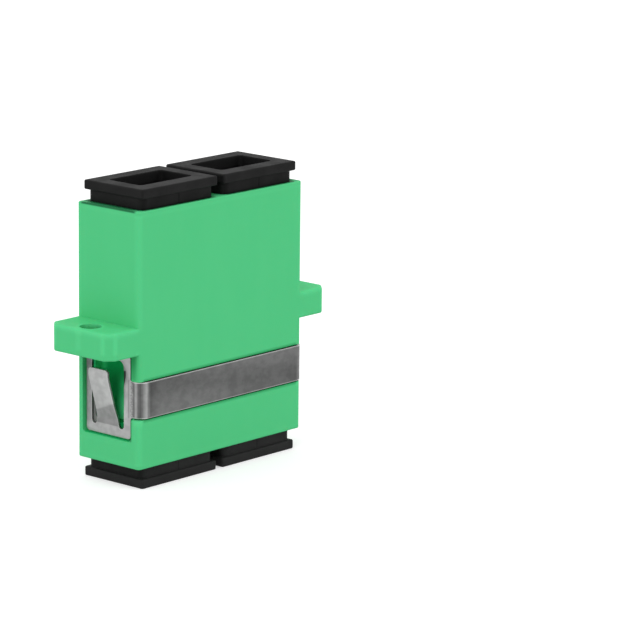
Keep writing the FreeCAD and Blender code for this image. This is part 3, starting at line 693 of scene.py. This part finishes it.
        # painted shade on the top rim round the caps' necks
        neck = SHELTERED.place(tree, Reach=1.3 * MM, Start=0.9, Full=0.5)["Mask"]
        corner = tree.product(tree.ramp(tree.out, 11.2, 11.6), tree.ramp(neck, 0.0, 0.35))
        end, side = self.half_height, self.side
        rim = tree.ramp(tree.off(tree.height, 0.0), end - 0.2, end - 0.05, 0.0, 0.9)
        colour = tree.blend(tree.product(tree.math("MAXIMUM", neck, corner), rim), colour, self.gap)
        # painted shade along the top edge of the narrow sides
        brim = Zone(self.gap, 0.8, out=((side - 0.5, side - 0.2),), across=((4.3, 3.8),),
                    height=((end - 0.22, end - 0.08),))
        return painted(tree, colour, (brim,))


@dataclass(frozen=True)
class CapPlastic(MouldedPlastic):
    """The caps' plastic, with painted light low down, where the floor lights it, and painted shade under the
    upper heads.

    Attributes:
        head: Height where a cap's head starts, from the housing's middle, in millimetres.
        low_head: How much paler the painted floor light makes the lower heads.
        low_neck: How much paler the painted floor light makes the fronts of the lower necks.
        top_neck: How dark the painted shade under the heads makes the fronts of the upper necks.
    """

    head: float = 15.4
    low_head: float = 2.4
    low_neck: float = 2.3
    top_neck: float = 0.3

    def local_shade(self, tree: Surface, colour: Any) -> Any:
        """Scales the colour by the place on the cap, for the painted floor light low down and the painted
        shade on the upper necks.

        Args:
            tree: The material's tree.
            colour: The colour without it.

        Returns:
            The scaled colour.
        """
        normal = tree.add("ShaderNodeTexCoord").outputs["Normal"]
        front = tree.ramp(tree.add("ShaderNodeSeparateXYZ", {0: normal}).outputs[1], -0.4, -0.9)
        top_neck = Zone(height=((-1.0, 1.0), (self.head, self.head - 0.1))).mask(tree)
        low_head = tree.ramp(tree.height, 0.1 - self.head, -self.head)
        low_neck = tree.product(front, tree.ramp(tree.height, 1.0, -1.0))
        low_neck = tree.ramp(low_neck, 0.0, 1.0, 1.0, self.low_neck)
        low = tree.math("MULTIPLY_ADD", low_head, tree.math("SUBTRACT", self.low_head, low_neck), low_neck)
        factor = tree.product(low, tree.ramp(tree.product(front, top_neck), 0.0, 1.0, 1.0, self.top_neck))
        return tree.add("ShaderNodeVectorMath", {0: colour, "Scale": factor}, operation="SCALE").outputs[0]


@dataclass(frozen=True)
class ReflectionBand:
    """One band of painted reflection across the strip.

    Attributes:
        turn: Where it lies, as an angle round the bend's axis in degrees: below 0 on the strap,
            above 90 on the side.
        tone: How bright the painted reflection makes the steel there.
    """

    turn: float
    tone: float


@dataclass(frozen=True)
class RolledSteel:
    """Thin spring steel, with painted reflections in bands across its bends and along its strap.

    All sizes are in millimetres, and heights are taken from the middle of the housing. Many tones follow
    the turn round the bend, which is 0 at half a turn back from the strap's plane and 1 at half a turn on.

    Attributes:
        name: The material's name.
        reflection_bands: The painted reflection bands across the bend, in order from the strap to the side.
        edge: Tone of the painted highlight along the sheared edges.
        frame: Tone of the side frames and tongues.
        far_bend: Tone of the painted darker reflection on the bend at the strap's right end, which turns
            away from the light.
        bent: How dark the painted reflection on the lower part of a tongue is.
        bend_axis: The bends' axes, as their distance from the clip's middle and from its back plane.
        aside: The clip's middle.
        tongue: The tongues' middle and half width along Y.
        root: Height of the tongues' roots.
        strap: Height of the strap's middle, and half its width.
        window_front: Y of the window's front edge.
        back_bar: Y of the bar behind the window.
        roughness: How matte it is.
        edge_reach: Width of the painted highlight along the edges.
    """

    name: str
    reflection_bands: tuple[ReflectionBand, ...]
    edge: float
    frame: float
    far_bend: float
    bent: float
    bend_axis: Point
    aside: float
    tongue: Point
    root: float
    strap: Point
    window_front: float
    back_bar: float
    roughness: float = 0.44
    edge_reach: float = 0.1

    def turn(self, tree: Surface) -> bpy.types.NodeSocket:
        """Works out where a point lies round the bend.

        Args:
            tree: The material's tree.

        Returns:
            The turn, from 0 to 1.
        """
        beyond = tree.math("SUBTRACT", tree.out, self.bend_axis[0])
        ahead = tree.math("SUBTRACT", -self.bend_axis[1], tree.y)
        return tree.math("MULTIPLY_ADD", tree.math("ARCTAN2", beyond, ahead), 0.5 / math.pi, 0.5)

    def tones(self, tree: Surface, turn: Any) -> bpy.types.NodeSocket:
        """Lays the painted reflection bands out.

        Args:
            tree: The material's tree.
            turn: The point's turn.

        Returns:
            The tone there.
        """
        node = tree.add("ShaderNodeValToRGB", {"Fac": turn})
        ramp = node.color_ramp
        ramp.interpolation = "EASE"
        for number, band in enumerate(self.reflection_bands):
            position = band.turn / 360.0 + 0.5
            stop = ramp.elements[number] if number < 2 else ramp.elements.new(position)
            stop.position = position
            stop.color = (band.tone, band.tone, band.tone, 1.0)
        return node.outputs["Color"]

    def bent_part(self, tree: Surface) -> bpy.types.NodeSocket:
        """Finds the lower part of a tongue, which faces down and reflects less, for its painted darker
        reflection.

        Args:
            tree: The material's tree.

        Returns:
            A mask of that part.
        """
        fold_slope, fold_start, fold_end = 0.4, 2.25, 1.7
        middle, half = self.tongue
        height = tree.math("SUBTRACT", tree.height, self.root)
        slant = tree.math("MULTIPLY_ADD", tree.y, fold_slope, height)
        inside = tree.ramp(tree.off(tree.y, middle), half + 0.02, half - 0.02)
        return tree.product(tree.ramp(slant, fold_start, fold_end), tree.ramp(height, -0.3, -0.1), inside)

    def bar_tone(self, tree: Surface) -> bpy.types.NodeSocket:
        """Darkens the back bar, which mirrors the dark side of the room, most of all above the tongue.

        Args:
            tree: The material's tree.

        Returns:
            A factor for the tone, which is 1 off the bar.
        """
        root, bar, beside_tongue, above_tongue = self.root, self.back_bar, 0.69, 0.55
        along = tree.product(tree.ramp(tree.height, root - 0.6, root + 0.2, 1.0, beside_tongue),
                             tree.ramp(tree.height, root + 5.4, root + 5.7, 1.0, above_tongue))
        back = tree.ramp(tree.y, bar - 0.15, bar + 0.05)
        return tree.math("MULTIPLY_ADD", back, tree.math("SUBTRACT", along, 1.0), 1.0)

    def drawn_edge_shade(self, tree: Surface) -> bpy.types.NodeSocket:
        """Finds the stretch of the window's front edge that the punch drew in, and paints the shade that
        lies on it.

        Args:
            tree: The material's tree.

        Returns:
            A factor for the tone, which is 1 elsewhere.
        """
        widest, darkest = 0.3, 0.85
        width = tree.ramp(tree.height, -5.7, -3.8, 0.0, widest)
        across = tree.math("SUBTRACT", tree.y, self.window_front)
        wide = tree.ramp(tree.math("ADD", across, width), -0.05, 0.02)
        stretch = Zone(height=((-3.45, -3.6), (-5.9, -5.4))).mask(tree)
        shade = tree.product(wide, tree.ramp(across, 0.15, 0.05), stretch)
        return tree.math("MULTIPLY_ADD", shade, -darkest, 1.0)

    def frame_tone(self, tree: Surface, tone: Any, turn: Any) -> bpy.types.NodeSocket:
        """Keeps the painted reflection bands to the strap's height, and gives the rest of the frame its even
        tone.

        Args:
            tree: The material's tree.
            tone: The bands' tone.
            turn: The point's turn.

        Returns:
            The tone.
        """
        middle, half = self.strap
        on_frame = tree.product(tree.ramp(turn, 0.795, 0.805),
                                tree.ramp(tree.off(tree.height, middle), half, half + 0.2))
        tone = tree.blend(on_frame, tone, (self.frame, self.frame, self.frame))
        lower_bar = tree.ramp(tree.height, -9.2, -9.8, 1.0, 0.9)
        return tree.product(tone, lower_bar)

    def rim_highlight(self, tree: Surface, tone: Any, turn: Any) -> bpy.types.NodeSocket:
        """Adds the painted highlight along the strap's edges, stronger on the upper one.

        Args:
            tree: The material's tree.
            tone: The tone without it.
            turn: The point's turn.

        Returns:
            The tone.
        """
        middle, half = self.strap
        lower_share, upper_share, on_strap, on_bend = 0.55, 0.85, 0.3, 0.62
        share = tree.ramp(tree.height, middle - 0.1, middle + 0.1, lower_share, upper_share)
        line = tree.ramp(tree.off(tree.height, middle), half - 0.17, half - 0.06, 0.0, share)
        bright = tree.ramp(turn, 0.49, 0.55, on_strap, on_bend)
        return tree.blend(tree.product(line, tree.ramp(turn, 0.79, 0.77)), tone, bright)

    def twist(self, tree: Surface, turn: Any) -> bpy.types.NodeSocket:
        """Works out how the strap's slight twist and its long ridge change what it mirrors, as a painted
        reflection.

        Args:
            tree: The material's tree.
            turn: The point's turn.

        Returns:
            A factor for the tone, which is 1 off the strap.
        """
        twist_rate, ridge_slope, ridge_height, ridge_dip = 0.009, -0.083, 0.3, 0.15
        height = tree.math("SUBTRACT", tree.height, self.strap[0])
        flat = tree.ramp(turn, 0.5, 0.48)
        lean = tree.math("MULTIPLY_ADD", tree.product(tree.x, height), tree.product(flat, twist_rate), 1.0)
        ridge_line = tree.math("MULTIPLY_ADD", tree.x, ridge_slope, ridge_height)
        from_ridge = tree.math("ABSOLUTE", tree.math("SUBTRACT", height, ridge_line))
        dip = tree.product(tree.ramp(from_ridge, 1.7, 0.2, 0.0, ridge_dip), flat)
        return tree.product(lean, tree.math("SUBTRACT", 1.0, dip))

    def painted_reflection_tone(self, tree: Surface) -> bpy.types.NodeSocket:
        """Works out the painted reflections and edge highlight that belong to the place on the strip, with
        its pits.

        Args:
            tree: The material's tree.

        Returns:
            The tone, without stains, grain and shade.
        """
        turn = self.turn(tree)
        # painted darker reflection on the bend at the strap's right end
        far_bend = tree.product(tree.ramp(tree.x, 0.0, 1.0), tree.ramp(turn, 0.72, 0.66), 0.75)
        tone = tree.blend(far_bend, self.tones(tree, turn), (self.far_bend, self.far_bend, self.far_bend))
        tone = tree.product(self.frame_tone(tree, tone, turn), self.twist(tree, turn))
        neck = tree.product(tree.ramp(turn, 0.755, 0.765), tree.ramp(turn, 0.83, 0.82))
        pits = GRAIN.place(tree, Size=0.16 * MM)["Height"]
        pitted = tree.ramp(pits, 0.3, 0.9, 1.0, tree.ramp(neck, 0.0, 1.0, 1.0, 0.5))
        return tree.product(self.rim_highlight(tree, tone, turn), pitted)

    def material(self) -> bpy.types.Material:
        """Builds the material.

        Returns:
            The material.
        """
        material, tree, shader = new_material(self.name, self.aside)
        cloud = BLOTCHES.place(tree, Size=0.8 * MM, Stretch=(0.7, 1.0, 1.0))["Value"]
        broad = BLOTCHES.place(tree, Size=5.0 * MM)["Value"]
        lines = GRAIN.place(tree, Size=0.05 * MM, Stretch=(0.05, 0.05, 1.0))["Height"]
        rim = SOFT_EDGE.place(tree, Reach=self.edge_reach * MM, Full=0.45)["Mask"]
        tone = tree.product(
            self.painted_reflection_tone(tree), tree.ramp(cloud, 0.0, 1.0, 1.03, 0.96),
            tree.ramp(broad, 0.0, 1.0, 0.96, 1.05), tree.ramp(lines, 0.2, 0.8, 0.97, 1.03),
            tree.ramp(self.bent_part(tree), 0.0, 1.0, 1.0, self.bent), self.bar_tone(tree))
        # painted highlight along the sheared edges
        tone = tree.blend(tree.product(rim, 0.85), tone, (self.edge, self.edge, self.edge))
        bump = tree.add("ShaderNodeBump", {"Strength": 0.5, "Distance": 0.002 * MM, "Height": lines})
        dents = tree.add("ShaderNodeBump", {"Strength": 0.6, "Distance": 0.01 * MM, "Height": broad,
                                            "Normal": bump.outputs[0]})
        tree.fill(shader, {
            "Base Color": tree.product(tone, self.drawn_edge_shade(tree)), "Metallic": 1.0,
            "Roughness": tree.ramp(cloud, 0.0, 1.0, self.roughness - 0.05, self.roughness + 0.08),
            "Normal": dents.outputs[0]})
        return material


@dataclass(frozen=True)
class SinteredCeramic:
    """Polished zirconia with a faint ivory cast.

    Attributes:
        name: The material's name.
        colour: The ceramic's colour.
        warm: The colour of its warmer patches.
    """

    name: str
    colour: Colour
    warm: Colour

    def material(self) -> bpy.types.Material:
        """Builds the material.

        Returns:
            The material.
        """
        material, tree, shader = new_material(self.name)
        patch = BLOTCHES.place(tree, Size=1.5 * MM)["Value"]
        grain = GRAIN.place(tree, Size=0.03 * MM, Stretch=(1.0, 1.0, 0.2))
        rounded = ROUNDING.place(tree, Radius=0.05 * MM)["Normal"]
        bump = tree.add("ShaderNodeBump", {"Strength": 0.3, "Distance": 0.001 * MM,
                                           "Height": grain["Height"], "Normal": rounded})
        tree.fill(shader, {"Base Color": tree.blend(patch, self.colour, self.warm),
                           "Roughness": tree.ramp(patch, 0.0, 1.0, 0.14, 0.24), "Normal": bump.outputs[0]})
        return material


@dataclass(frozen=True)
class PaleFloor:
    """The plain pale floor: it keeps the shadow, and shows as white where nothing shades it.

    Attributes:
        name: The material's name.
        colour: The floor's colour.
        lift: Light that only the camera and reflections see, so that the open floor is white.
    """

    name: str
    colour: Colour
    lift: float

    def material(self) -> bpy.types.Material:
        """Builds the material.

        Returns:
            The material.
        """
        material, tree, shader = new_material(self.name)
        tree.fill(shader, {"Base Color": opaque(self.colour), "Roughness": 0.9, "Specular IOR Level": 0.0})
        glow = tree.add("ShaderNodeEmission", {"Color": (1.0, 1.0, 1.0, 1.0),
                                               "Strength": tree.product(tree.seen(), self.lift)})
        both = tree.add("ShaderNodeAddShader", {0: shader.outputs[0], 1: glow.outputs[0]})
        tree.feed(material.node_tree.nodes["Material Output"].inputs["Surface"], both.outputs[0])
        return material


# Edge colours are painted highlights and shade colours painted shade; the black's edge colour also paints
# its glints.
GREEN = HousingPlastic(
    "green_moulding", colour=(0.089, 0.587, 0.236), cloud=(0.095, 0.6, 0.243), edge=(0.119, 0.705, 0.303),
    shade=(0.0, 0.2, 0.045), roughness=0.56, grain_size=0.16, grain_height=0.003, edge_reach=0.8,
    shade_reach=3.0, shade_start=0.5, shade_share=0.95, rounding=0.1, gloss=0.04, depth=0.1)
BLACK = CapPlastic(
    "black_moulding", colour=(0.0055, 0.0055, 0.0055), cloud=(0.007, 0.007, 0.007),
    edge=(0.012, 0.012, 0.012), shade=(0.003, 0.003, 0.003), roughness=0.62, grain_size=0.1,
    grain_height=0.012, edge_reach=0.2, rounding=0.2, gloss=0.14, spark=0.8)
NATURAL = MouldedPlastic(
    "natural_moulding", colour=(0.74, 0.72, 0.66), cloud=(0.78, 0.765, 0.71), edge=(0.85, 0.84, 0.8),
    shade=(0.5, 0.48, 0.42), roughness=0.42, grain_size=0.14, grain_height=0.002, edge_reach=0.4,
    rounding=0.06, depth=0.2)
# The bands are painted reflections; edge is a painted highlight, far_bend and bent are painted darker
# reflections.
STEEL = RolledSteel(
    "spring_steel",
    reflection_bands=tuple(ReflectionBand(turn, tone) for turn, tone in (
        (-60, 0.14), (-38, 0.118), (-20, 0.1), (-5, 0.155), (14, 0.335), (27, 0.255), (38, 0.155),
        (50, 0.1), (60, 0.12), (77, 0.31), (88, 0.18), (95, 0.155), (101, 0.36), (110, 0.43),
        (117, 0.46), (122.5, 0.28), (128, 0.27), (132, 0.42), (145, 0.41), (152, 0.381))),
    edge=0.8, frame=0.381, far_bend=0.13, bent=0.65, bend_axis=(11.95, 3.63), aside=0.35,
    tongue=(0.325, 1.625), root=-9.7, strap=(-6.56, 2.025), window_front=-2.1, back_bar=2.75)
CERAMIC = SinteredCeramic("zirconia", colour=(0.86, 0.85, 0.81), warm=(0.84, 0.82, 0.75))
FLOOR = PaleFloor("pale_floor", colour=(0.72, 0.72, 0.72), lift=0.45)


def dress(node: str, material: bpy.types.Material) -> None:
    """Gives a CAD node its material.

    Args:
        node: The node's name.
        material: The material.
    """
    piece = frame["nodes"][node]
    piece.data.materials.clear()
    piece.data.materials.append(material)
    log.info("%s: %s, %d faces", node, material.name, len(piece.data.polygons))


@dataclass
class Housing:
    """The green moulding with its ports and ears."""

    node: str = "housing"
    finish: HousingPlastic = GREEN

    def build(self) -> None:
        """Dresses the moulding."""
        dress(self.node, self.finish.material())


@dataclass
class PortInserts:
    """What sits inside the two ports: the latch holders and the split sleeves."""

    holder: MouldedPlastic = NATURAL
    sleeve: SinteredCeramic = CERAMIC

    def build(self) -> None:
        """Dresses the four holders and the two sleeves."""
        holder, sleeve = self.holder.material(), self.sleeve.material()
        for hand in Hand:
            dress(f"split_sleeve_{hand.name.lower()}", sleeve)
            for end in End:
                dress(f"latch_holder_{end.name.lower()}_{hand.name.lower()}", holder)


@dataclass
class DustCaps:
    """The four black caps."""

    finish: CapPlastic = BLACK

    def build(self) -> None:
        """Dresses the caps."""
        material = self.finish.material()
        for end in End:
            for hand in Hand:
                dress(f"dust_cap_{end.name.lower()}_{hand.name.lower()}", material)


def mirrored(line: list[Point]) -> list[Point]:
    """The same line on the blank's other half, run the other way round."""
    return [(-s, z) for s, z in reversed(line)]


@dataclass
class SpringClip:
    """The pressed steel strip, cut as a flat blank with rolled-over edges and then bent.

    All sizes are in millimetres. The blank's first coordinate, s, runs along the strip from the middle
    of the strap, its second is the height from the middle of the housing. For the frame and its window,
    top and bottom are heights, and front and back are places along Y.
    """

    node: str = "spring_clip"
    finish: RolledSteel = STEEL
    body: str = "adapter"
    slot: str = "spring_steel"
    sheet: float = 0.3
    edge_round: float = 0.045
    strap_out: float = 4.73
    frame_out: float = 13.05
    aside: float = 0.35
    bend: float = 1.1
    strap_width: float = 4.05
    strap_drop: float = 0.11
    middle: float = MIDDLE
    frame_top: float = -1.85
    frame_bottom: float = -11.05
    frame_front: float = -3.1
    frame_back: float = 3.55
    window_top: float = -2.55
    window_front: float = -2.1
    window_back: float = 2.75
    window_corner: float = 0.7
    slot_width: float = 0.8
    root: float = -9.7
    frame_corner: float = 0.38
    inner_corner: float = 0.3
    tongue_reach: float = 1.5
    tongue_angle: float = math.radians(17.0)
    root_bend: float = 2.5
    tip_bend: float = 1.0
    tip_length: float = 0.75
    tip_corner: float = 0.4
    taper: float = 0.12
    taper_share: float = 0.3
    weld: float = 0.0005
    arc_steps: int = 8

    def __post_init__(self) -> None:
        """Works out what follows from the sizes, once they are set."""
        self.straight = self.frame_out - self.bend
        self.side_start = self.straight + self.bend * math.pi / 2
        self.side_y = self.bend - self.strap_out
        turn = 1 - math.cos(self.tongue_angle)
        bends = self.root_bend + self.tip_bend + self.sheet
        self.slope = (self.tongue_reach - bends * turn) / math.sin(self.tongue_angle)
        self.root_arc = self.root_bend * self.tongue_angle
        self.tip_arc = (self.tip_bend + self.sheet) * self.tongue_angle
        self.tongue_length = self.root_arc + self.slope + self.tip_arc + self.tip_length

    def along(self, y: float) -> float:
        """The blank's coordinate of a place on the right side frame."""
        return self.side_start + y - self.side_y

    def corner(self, centre: Point, radius: float, start: float, turn: float = 90.0) -> list[Point]:
        """Points round a corner.

        Args:
            centre: The corner's centre.
            radius: Its radius.
            start: The first point's angle, in degrees.
            turn: How far it turns, in degrees, counter-clockwise if positive.

        Returns:
            The points, both ends included.
        """
        angles = (math.radians(start + turn * step / self.arc_steps) for step in range(self.arc_steps + 1))
        return [(centre[0] + radius * math.cos(a), centre[1] + radius * math.sin(a)) for a in angles]

    def outer_line(self) -> list[Point]:
        """The blank's outer outline.

        Returns:
            The outline, counter-clockwise.
        """
        strap_middle = (self.frame_top + self.frame_bottom) / 2 - self.strap_drop
        half = self.strap_width / 2
        front, back = self.along(self.frame_front), self.along(self.frame_back)
        outer, inner = self.frame_corner, self.inner_corner
        low, high = self.frame_bottom, self.frame_top
        right = [
            *self.corner((front - inner, strap_middle - half - inner), inner, 90.0, -90.0),
            *self.corner((front + outer, low + outer), outer, 180.0),
            *self.corner((back - outer, low + outer), outer, -90.0),
            *self.corner((back - outer, high - outer), outer, 0.0),
            *self.corner((front + outer, high - outer), outer, 90.0),
            *self.corner((front - inner, strap_middle + half + inner), inner, 0.0, -90.0),
        ]
        return right + mirrored(right)

    def window_line(self) -> list[Point]:
        """The right frame's window, with the tongue standing in it.

        Returns:
            The outline.
        """
        front, back = self.along(self.window_front), self.along(self.window_back)
        gap, bend, blunt = self.slot_width, self.window_corner, self.tip_corner
        top, tip = self.window_top, self.root + self.tongue_length
        return [
            *self.corner((front + gap / 2, self.root), gap / 2, 180.0, 180.0),
            *self.corner((front + gap + blunt, tip - blunt), blunt, 180.0, -90.0),
            *self.corner((back - gap - blunt, tip - blunt), blunt, 90.0, -90.0),
            *self.corner((back - gap / 2, self.root), gap / 2, 180.0, 180.0),
            *self.corner((back - bend, top - bend), bend, 0.0),
            *self.corner((front + bend, top - bend), bend, 90.0),
        ]

    def blank(self) -> bpy.types.Mesh:
        """Cuts the flat blank, with its outer face at height 0 and its edges rounded.

        Returns:
            The blank's mesh, in millimetres.
        """
        curve = bpy.data.curves.new("clip_blank", "CURVE")
        curve.dimensions = "2D"
        curve.fill_mode = "BOTH"
        curve.bevel_depth = self.edge_round
        curve.bevel_resolution = 2
        curve.offset = -self.edge_round
        curve.extrude = self.sheet / 2 - self.edge_round
        window = self.window_line()
        for line in (self.outer_line(), window, mirrored(window)):
            spline = curve.splines.new("POLY")
            spline.points.add(len(line) - 1)
            spline.use_cyclic_u = True
            for point, (s, z) in zip(spline.points, line):
                point.co = (s, z, 0.0, 1.0)
        holder = bpy.data.objects.new("clip_blank", curve)
        bpy.context.scene.collection.objects.link(holder)
        bpy.context.view_layer.update()
        mesh = bpy.data.meshes.new_from_object(holder.evaluated_get(bpy.context.evaluated_depsgraph_get()))
        bpy.data.objects.remove(holder)
        return mesh

    def cuts(self) -> Iterator[tuple[Place, Place]]:
        """The lines that the bends need across the blank.

        Yields:
            A point on each line, and the direction across it.
        """
        corner_steps, tongue_steps, slope_steps = 14, 5, 6
        for side in (-1.0, 1.0):
            for step in range(corner_steps + 1):
                run = self.straight + self.bend * math.pi / 2 * step / corner_steps
                yield (side * run, 0.0, 0.0), (1.0, 0.0, 0.0)
        slope_start = self.root + self.root_arc
        tip_start = slope_start + self.slope
        for start, length, steps in ((self.root, self.root_arc, tongue_steps),
                                     (slope_start, self.slope, slope_steps),
                                     (tip_start, self.tip_arc, tongue_steps)):
            for step in range(steps + 1):
                yield (0.0, start + length * step / steps, 0.0), (0.0, 1.0, 0.0)

    def bent(self, s: float, z: float, depth: float) -> Place:
        """Where a point of the blank goes when the strip is bent.

        Args:
            s: Distance along the strip from the middle of the strap.
            z: Height from the middle of the housing.
            depth: Distance below the outer face.

        Returns:
            The place in the part's frame, in millimetres.
        """
        hand, s = math.copysign(1.0, s), abs(s)
        if self.on_tongue(s, z):
            centre = self.along((self.window_front + self.window_back) / 2)
            tapered = min((z - self.root) / (self.taper_share * self.tongue_length), 1.0)
            s = centre + (s - centre) * (1 - self.taper * tapered)
            out, z, lean = self.tongue_line(z - self.root)
            out -= depth * math.cos(lean)
            z += depth * math.sin(lean)
            y = self.side_y + s - self.side_start
            return hand * (self.frame_out + out) + self.aside, y, self.middle + z
        radius = self.bend - depth
        if s <= self.straight:
            x, y = s, depth - self.strap_out
        elif s <= self.side_start:
            angle = (s - self.straight) / self.bend
            x, y = self.straight + radius * math.sin(angle), self.side_y - radius * math.cos(angle)
        else:
            x, y = self.frame_out - depth, self.side_y + s - self.side_start
        return hand * x + self.aside, y, self.middle + z

    def on_tongue(self, s: float, z: float) -> bool:
        """Whether a point of the blank lies on the right tongue.

        Args:
            s: Distance along the strip from the middle of the strap.
            z: Height from the middle of the housing.

        Returns:
            Whether it does.
        """
        slack = 0.01
        front = self.along(self.window_front) + self.slot_width - slack
        back = self.along(self.window_back) - self.slot_width + slack
        return front <= s <= back and self.root < z < self.root + self.tongue_length + slack

    def tongue_line(self, run: float) -> tuple[float, float, float]:
        """The tongue's outer face, seen from the side.

        Args:
            run: Distance along the tongue from its root.

        Returns:
            How far it stands out, its height, and how far it leans, in radians.
        """
        sine, cosine = math.sin(self.tongue_angle), math.cos(self.tongue_angle)
        if run <= self.root_arc:
            lean = run / self.root_bend
            return self.root_bend * (1 - math.cos(lean)), self.root + self.root_bend * math.sin(lean), lean
        out, up = self.root_bend * (1 - cosine), self.root + self.root_bend * sine
        run -= self.root_arc
        if run <= self.slope:
            return out + run * sine, up + run * cosine, self.tongue_angle
        out, up = out + self.slope * sine, up + self.slope * cosine
        run -= self.slope
        radius = self.tip_bend + self.sheet
        if run <= self.tip_arc:
            lean = self.tongue_angle - run / radius
            return out + radius * (math.cos(lean) - cosine), up + radius * (sine - math.sin(lean)), lean
        return self.tongue_reach, up + radius * sine + run - self.tip_arc, 0.0

    def build(self) -> None:
        """Bends the blank, dresses it and puts it in place of the plain strip."""
        mesh = self.blank()
        shape = bmesh.new()
        shape.from_mesh(mesh)
        bmesh.ops.remove_doubles(shape, verts=shape.verts, dist=self.weld)
        for point, across in self.cuts():
            bmesh.ops.bisect_plane(shape, geom=shape.verts[:] + shape.edges[:] + shape.faces[:],
                                   dist=self.weld, plane_co=point, plane_no=across)
        for vert in shape.verts:
            s, z, height = vert.co
            vert.co = Vector(self.bent(s, z, self.sheet / 2 - height)) * MM
        bmesh.ops.recalc_face_normals(shape, faces=shape.faces)
        for face in shape.faces:
            face.smooth = True
        shape.to_mesh(mesh)
        shape.free()
        mesh.name = "pressed_clip"
        mesh.materials.clear()
        mesh.materials.append(self.finish.material())
        clip = bpy.data.objects.new("pressed_clip", mesh)
        bpy.context.scene.collection.objects.link(clip)
        weighted = clip.modifiers.new("even_faces", "WEIGHTED_NORMAL")
        weighted.weight = 90
        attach(clip, self.body)
        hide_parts(self.node)
        log.info("%s: %s, %d faces", clip.name, self.finish.name, len(mesh.polygons))


@dataclass(frozen=True)
class Softbox:
    """A rectangular studio lamp that looks at the adapter.

    Attributes:
        name: The lamp's name.
        place: Where it stands, in metres.
        size: Its width and height, in metres.
        power: Its power, in watts.
    """

    name: str
    place: Place
    size: Point
    power: float

    def build(self, target: Vector) -> None:
        """Sets the lamp up.

        Args:
            target: What it looks at.
        """
        light = bpy.data.lights.new(self.name, "AREA")
        light.shape = "RECTANGLE"
        light.size, light.size_y = self.size
        light.energy = self.power
        lamp = bpy.data.objects.new(self.name, light)
        lamp.location = self.place
        lamp.rotation_euler = (target - Vector(self.place)).to_track_quat("-Z", "Y").to_euler()
        bpy.context.scene.collection.objects.link(lamp)


@dataclass
class Studio:
    """The floor, the light and the camera.

    The camera looks along the azimuth and elevation, turned by the roll, from the distance, and stands
    aside and below by what those fields say.
    """

    middle: Place = (0.0, 0.0, MIDDLE * MM)
    azimuth: float = math.radians(48.567)
    elevation: float = math.radians(12.804)
    roll: float = math.radians(0.628)
    distance: float = 415.0 * MM
    aside: float = 14.208 * MM
    below: float = 0.339 * MM
    lens: float = 212.0
    floor_size: float = 6.0
    sky: float = 0.93
    lamps: list[Softbox] = field(default_factory=lambda: [
        Softbox("key_lamp", (-0.42, -0.2, 0.42), (0.3, 0.3), 0.5),
        Softbox("fill_lamp", (0.3, -0.5, 0.35), (0.3, 0.3), 0.35),
        Softbox("back_lamp", (-0.1, 0.5, 0.5), (0.3, 0.3), 0.35),
    ])

    def build(self) -> None:
        """Sets up everything round the adapter."""
        self.lay_floor()
        self.light_sky()
        for lamp in self.lamps:
            lamp.build(Vector(self.middle))
        self.set_camera()

    def lay_floor(self) -> None:
        """Lays the floor under the lower caps."""
        mesh = bpy.data.meshes.new("floor")
        shape = bmesh.new()
        bmesh.ops.create_grid(shape, x_segments=1, y_segments=1, size=self.floor_size / 2)
        shape.to_mesh(mesh)
        shape.free()
        mesh.materials.append(FLOOR.material())
        floor = bpy.data.objects.new("floor", mesh)
        bpy.context.scene.collection.objects.link(floor)

    def light_sky(self) -> None:
        """Lights the object from all round, and shows white behind it."""
        world = bpy.data.worlds.new("studio")
        world.use_nodes = True
        bpy.context.scene.world = world
        tree = Tree(world.node_tree)
        strength = tree.math("MULTIPLY_ADD", tree.seen(), 1.0 - self.sky, self.sky)
        tree.fill(world.node_tree.nodes["Background"], {"Color": (1.0, 1.0, 1.0, 1.0), "Strength": strength})

    def set_camera(self) -> None:
        """Puts the camera where the photograph was taken from."""
        sin_a, cos_a = math.sin(self.azimuth), math.cos(self.azimuth)
        sin_e, cos_e = math.sin(self.elevation), math.cos(self.elevation)
        back = Vector((-sin_a * cos_e, -cos_a * cos_e, sin_e))
        level = Vector((cos_a, -sin_a, 0.0))
        upright = back.cross(level)
        right = math.cos(self.roll) * level + math.sin(self.roll) * upright
        up = math.cos(self.roll) * upright - math.sin(self.roll) * level
        data = bpy.data.cameras.new("camera")
        data.lens = self.lens
        data.clip_start, data.clip_end = 0.01, 20.0
        camera = bpy.data.objects.new("camera", data)
        place = Vector(self.middle) + back * self.distance + right * self.aside - up * self.below
        rows = [[right[i], up[i], back[i], place[i]] for i in range(3)]
        camera.matrix_world = Matrix([*rows, [0.0, 0.0, 0.0, 1.0]])
        bpy.context.scene.collection.objects.link(camera)
        bpy.context.scene.camera = camera


def main() -> None:
    logging.basicConfig(level=logging.INFO, format="%(message)s")
    for part in (Housing(), PortInserts(), DustCaps(), SpringClip(), Studio()):
        part.build()
    bpy.context.scene.view_settings.view_transform = "Standard"


if __name__ == "__main__":
    main()
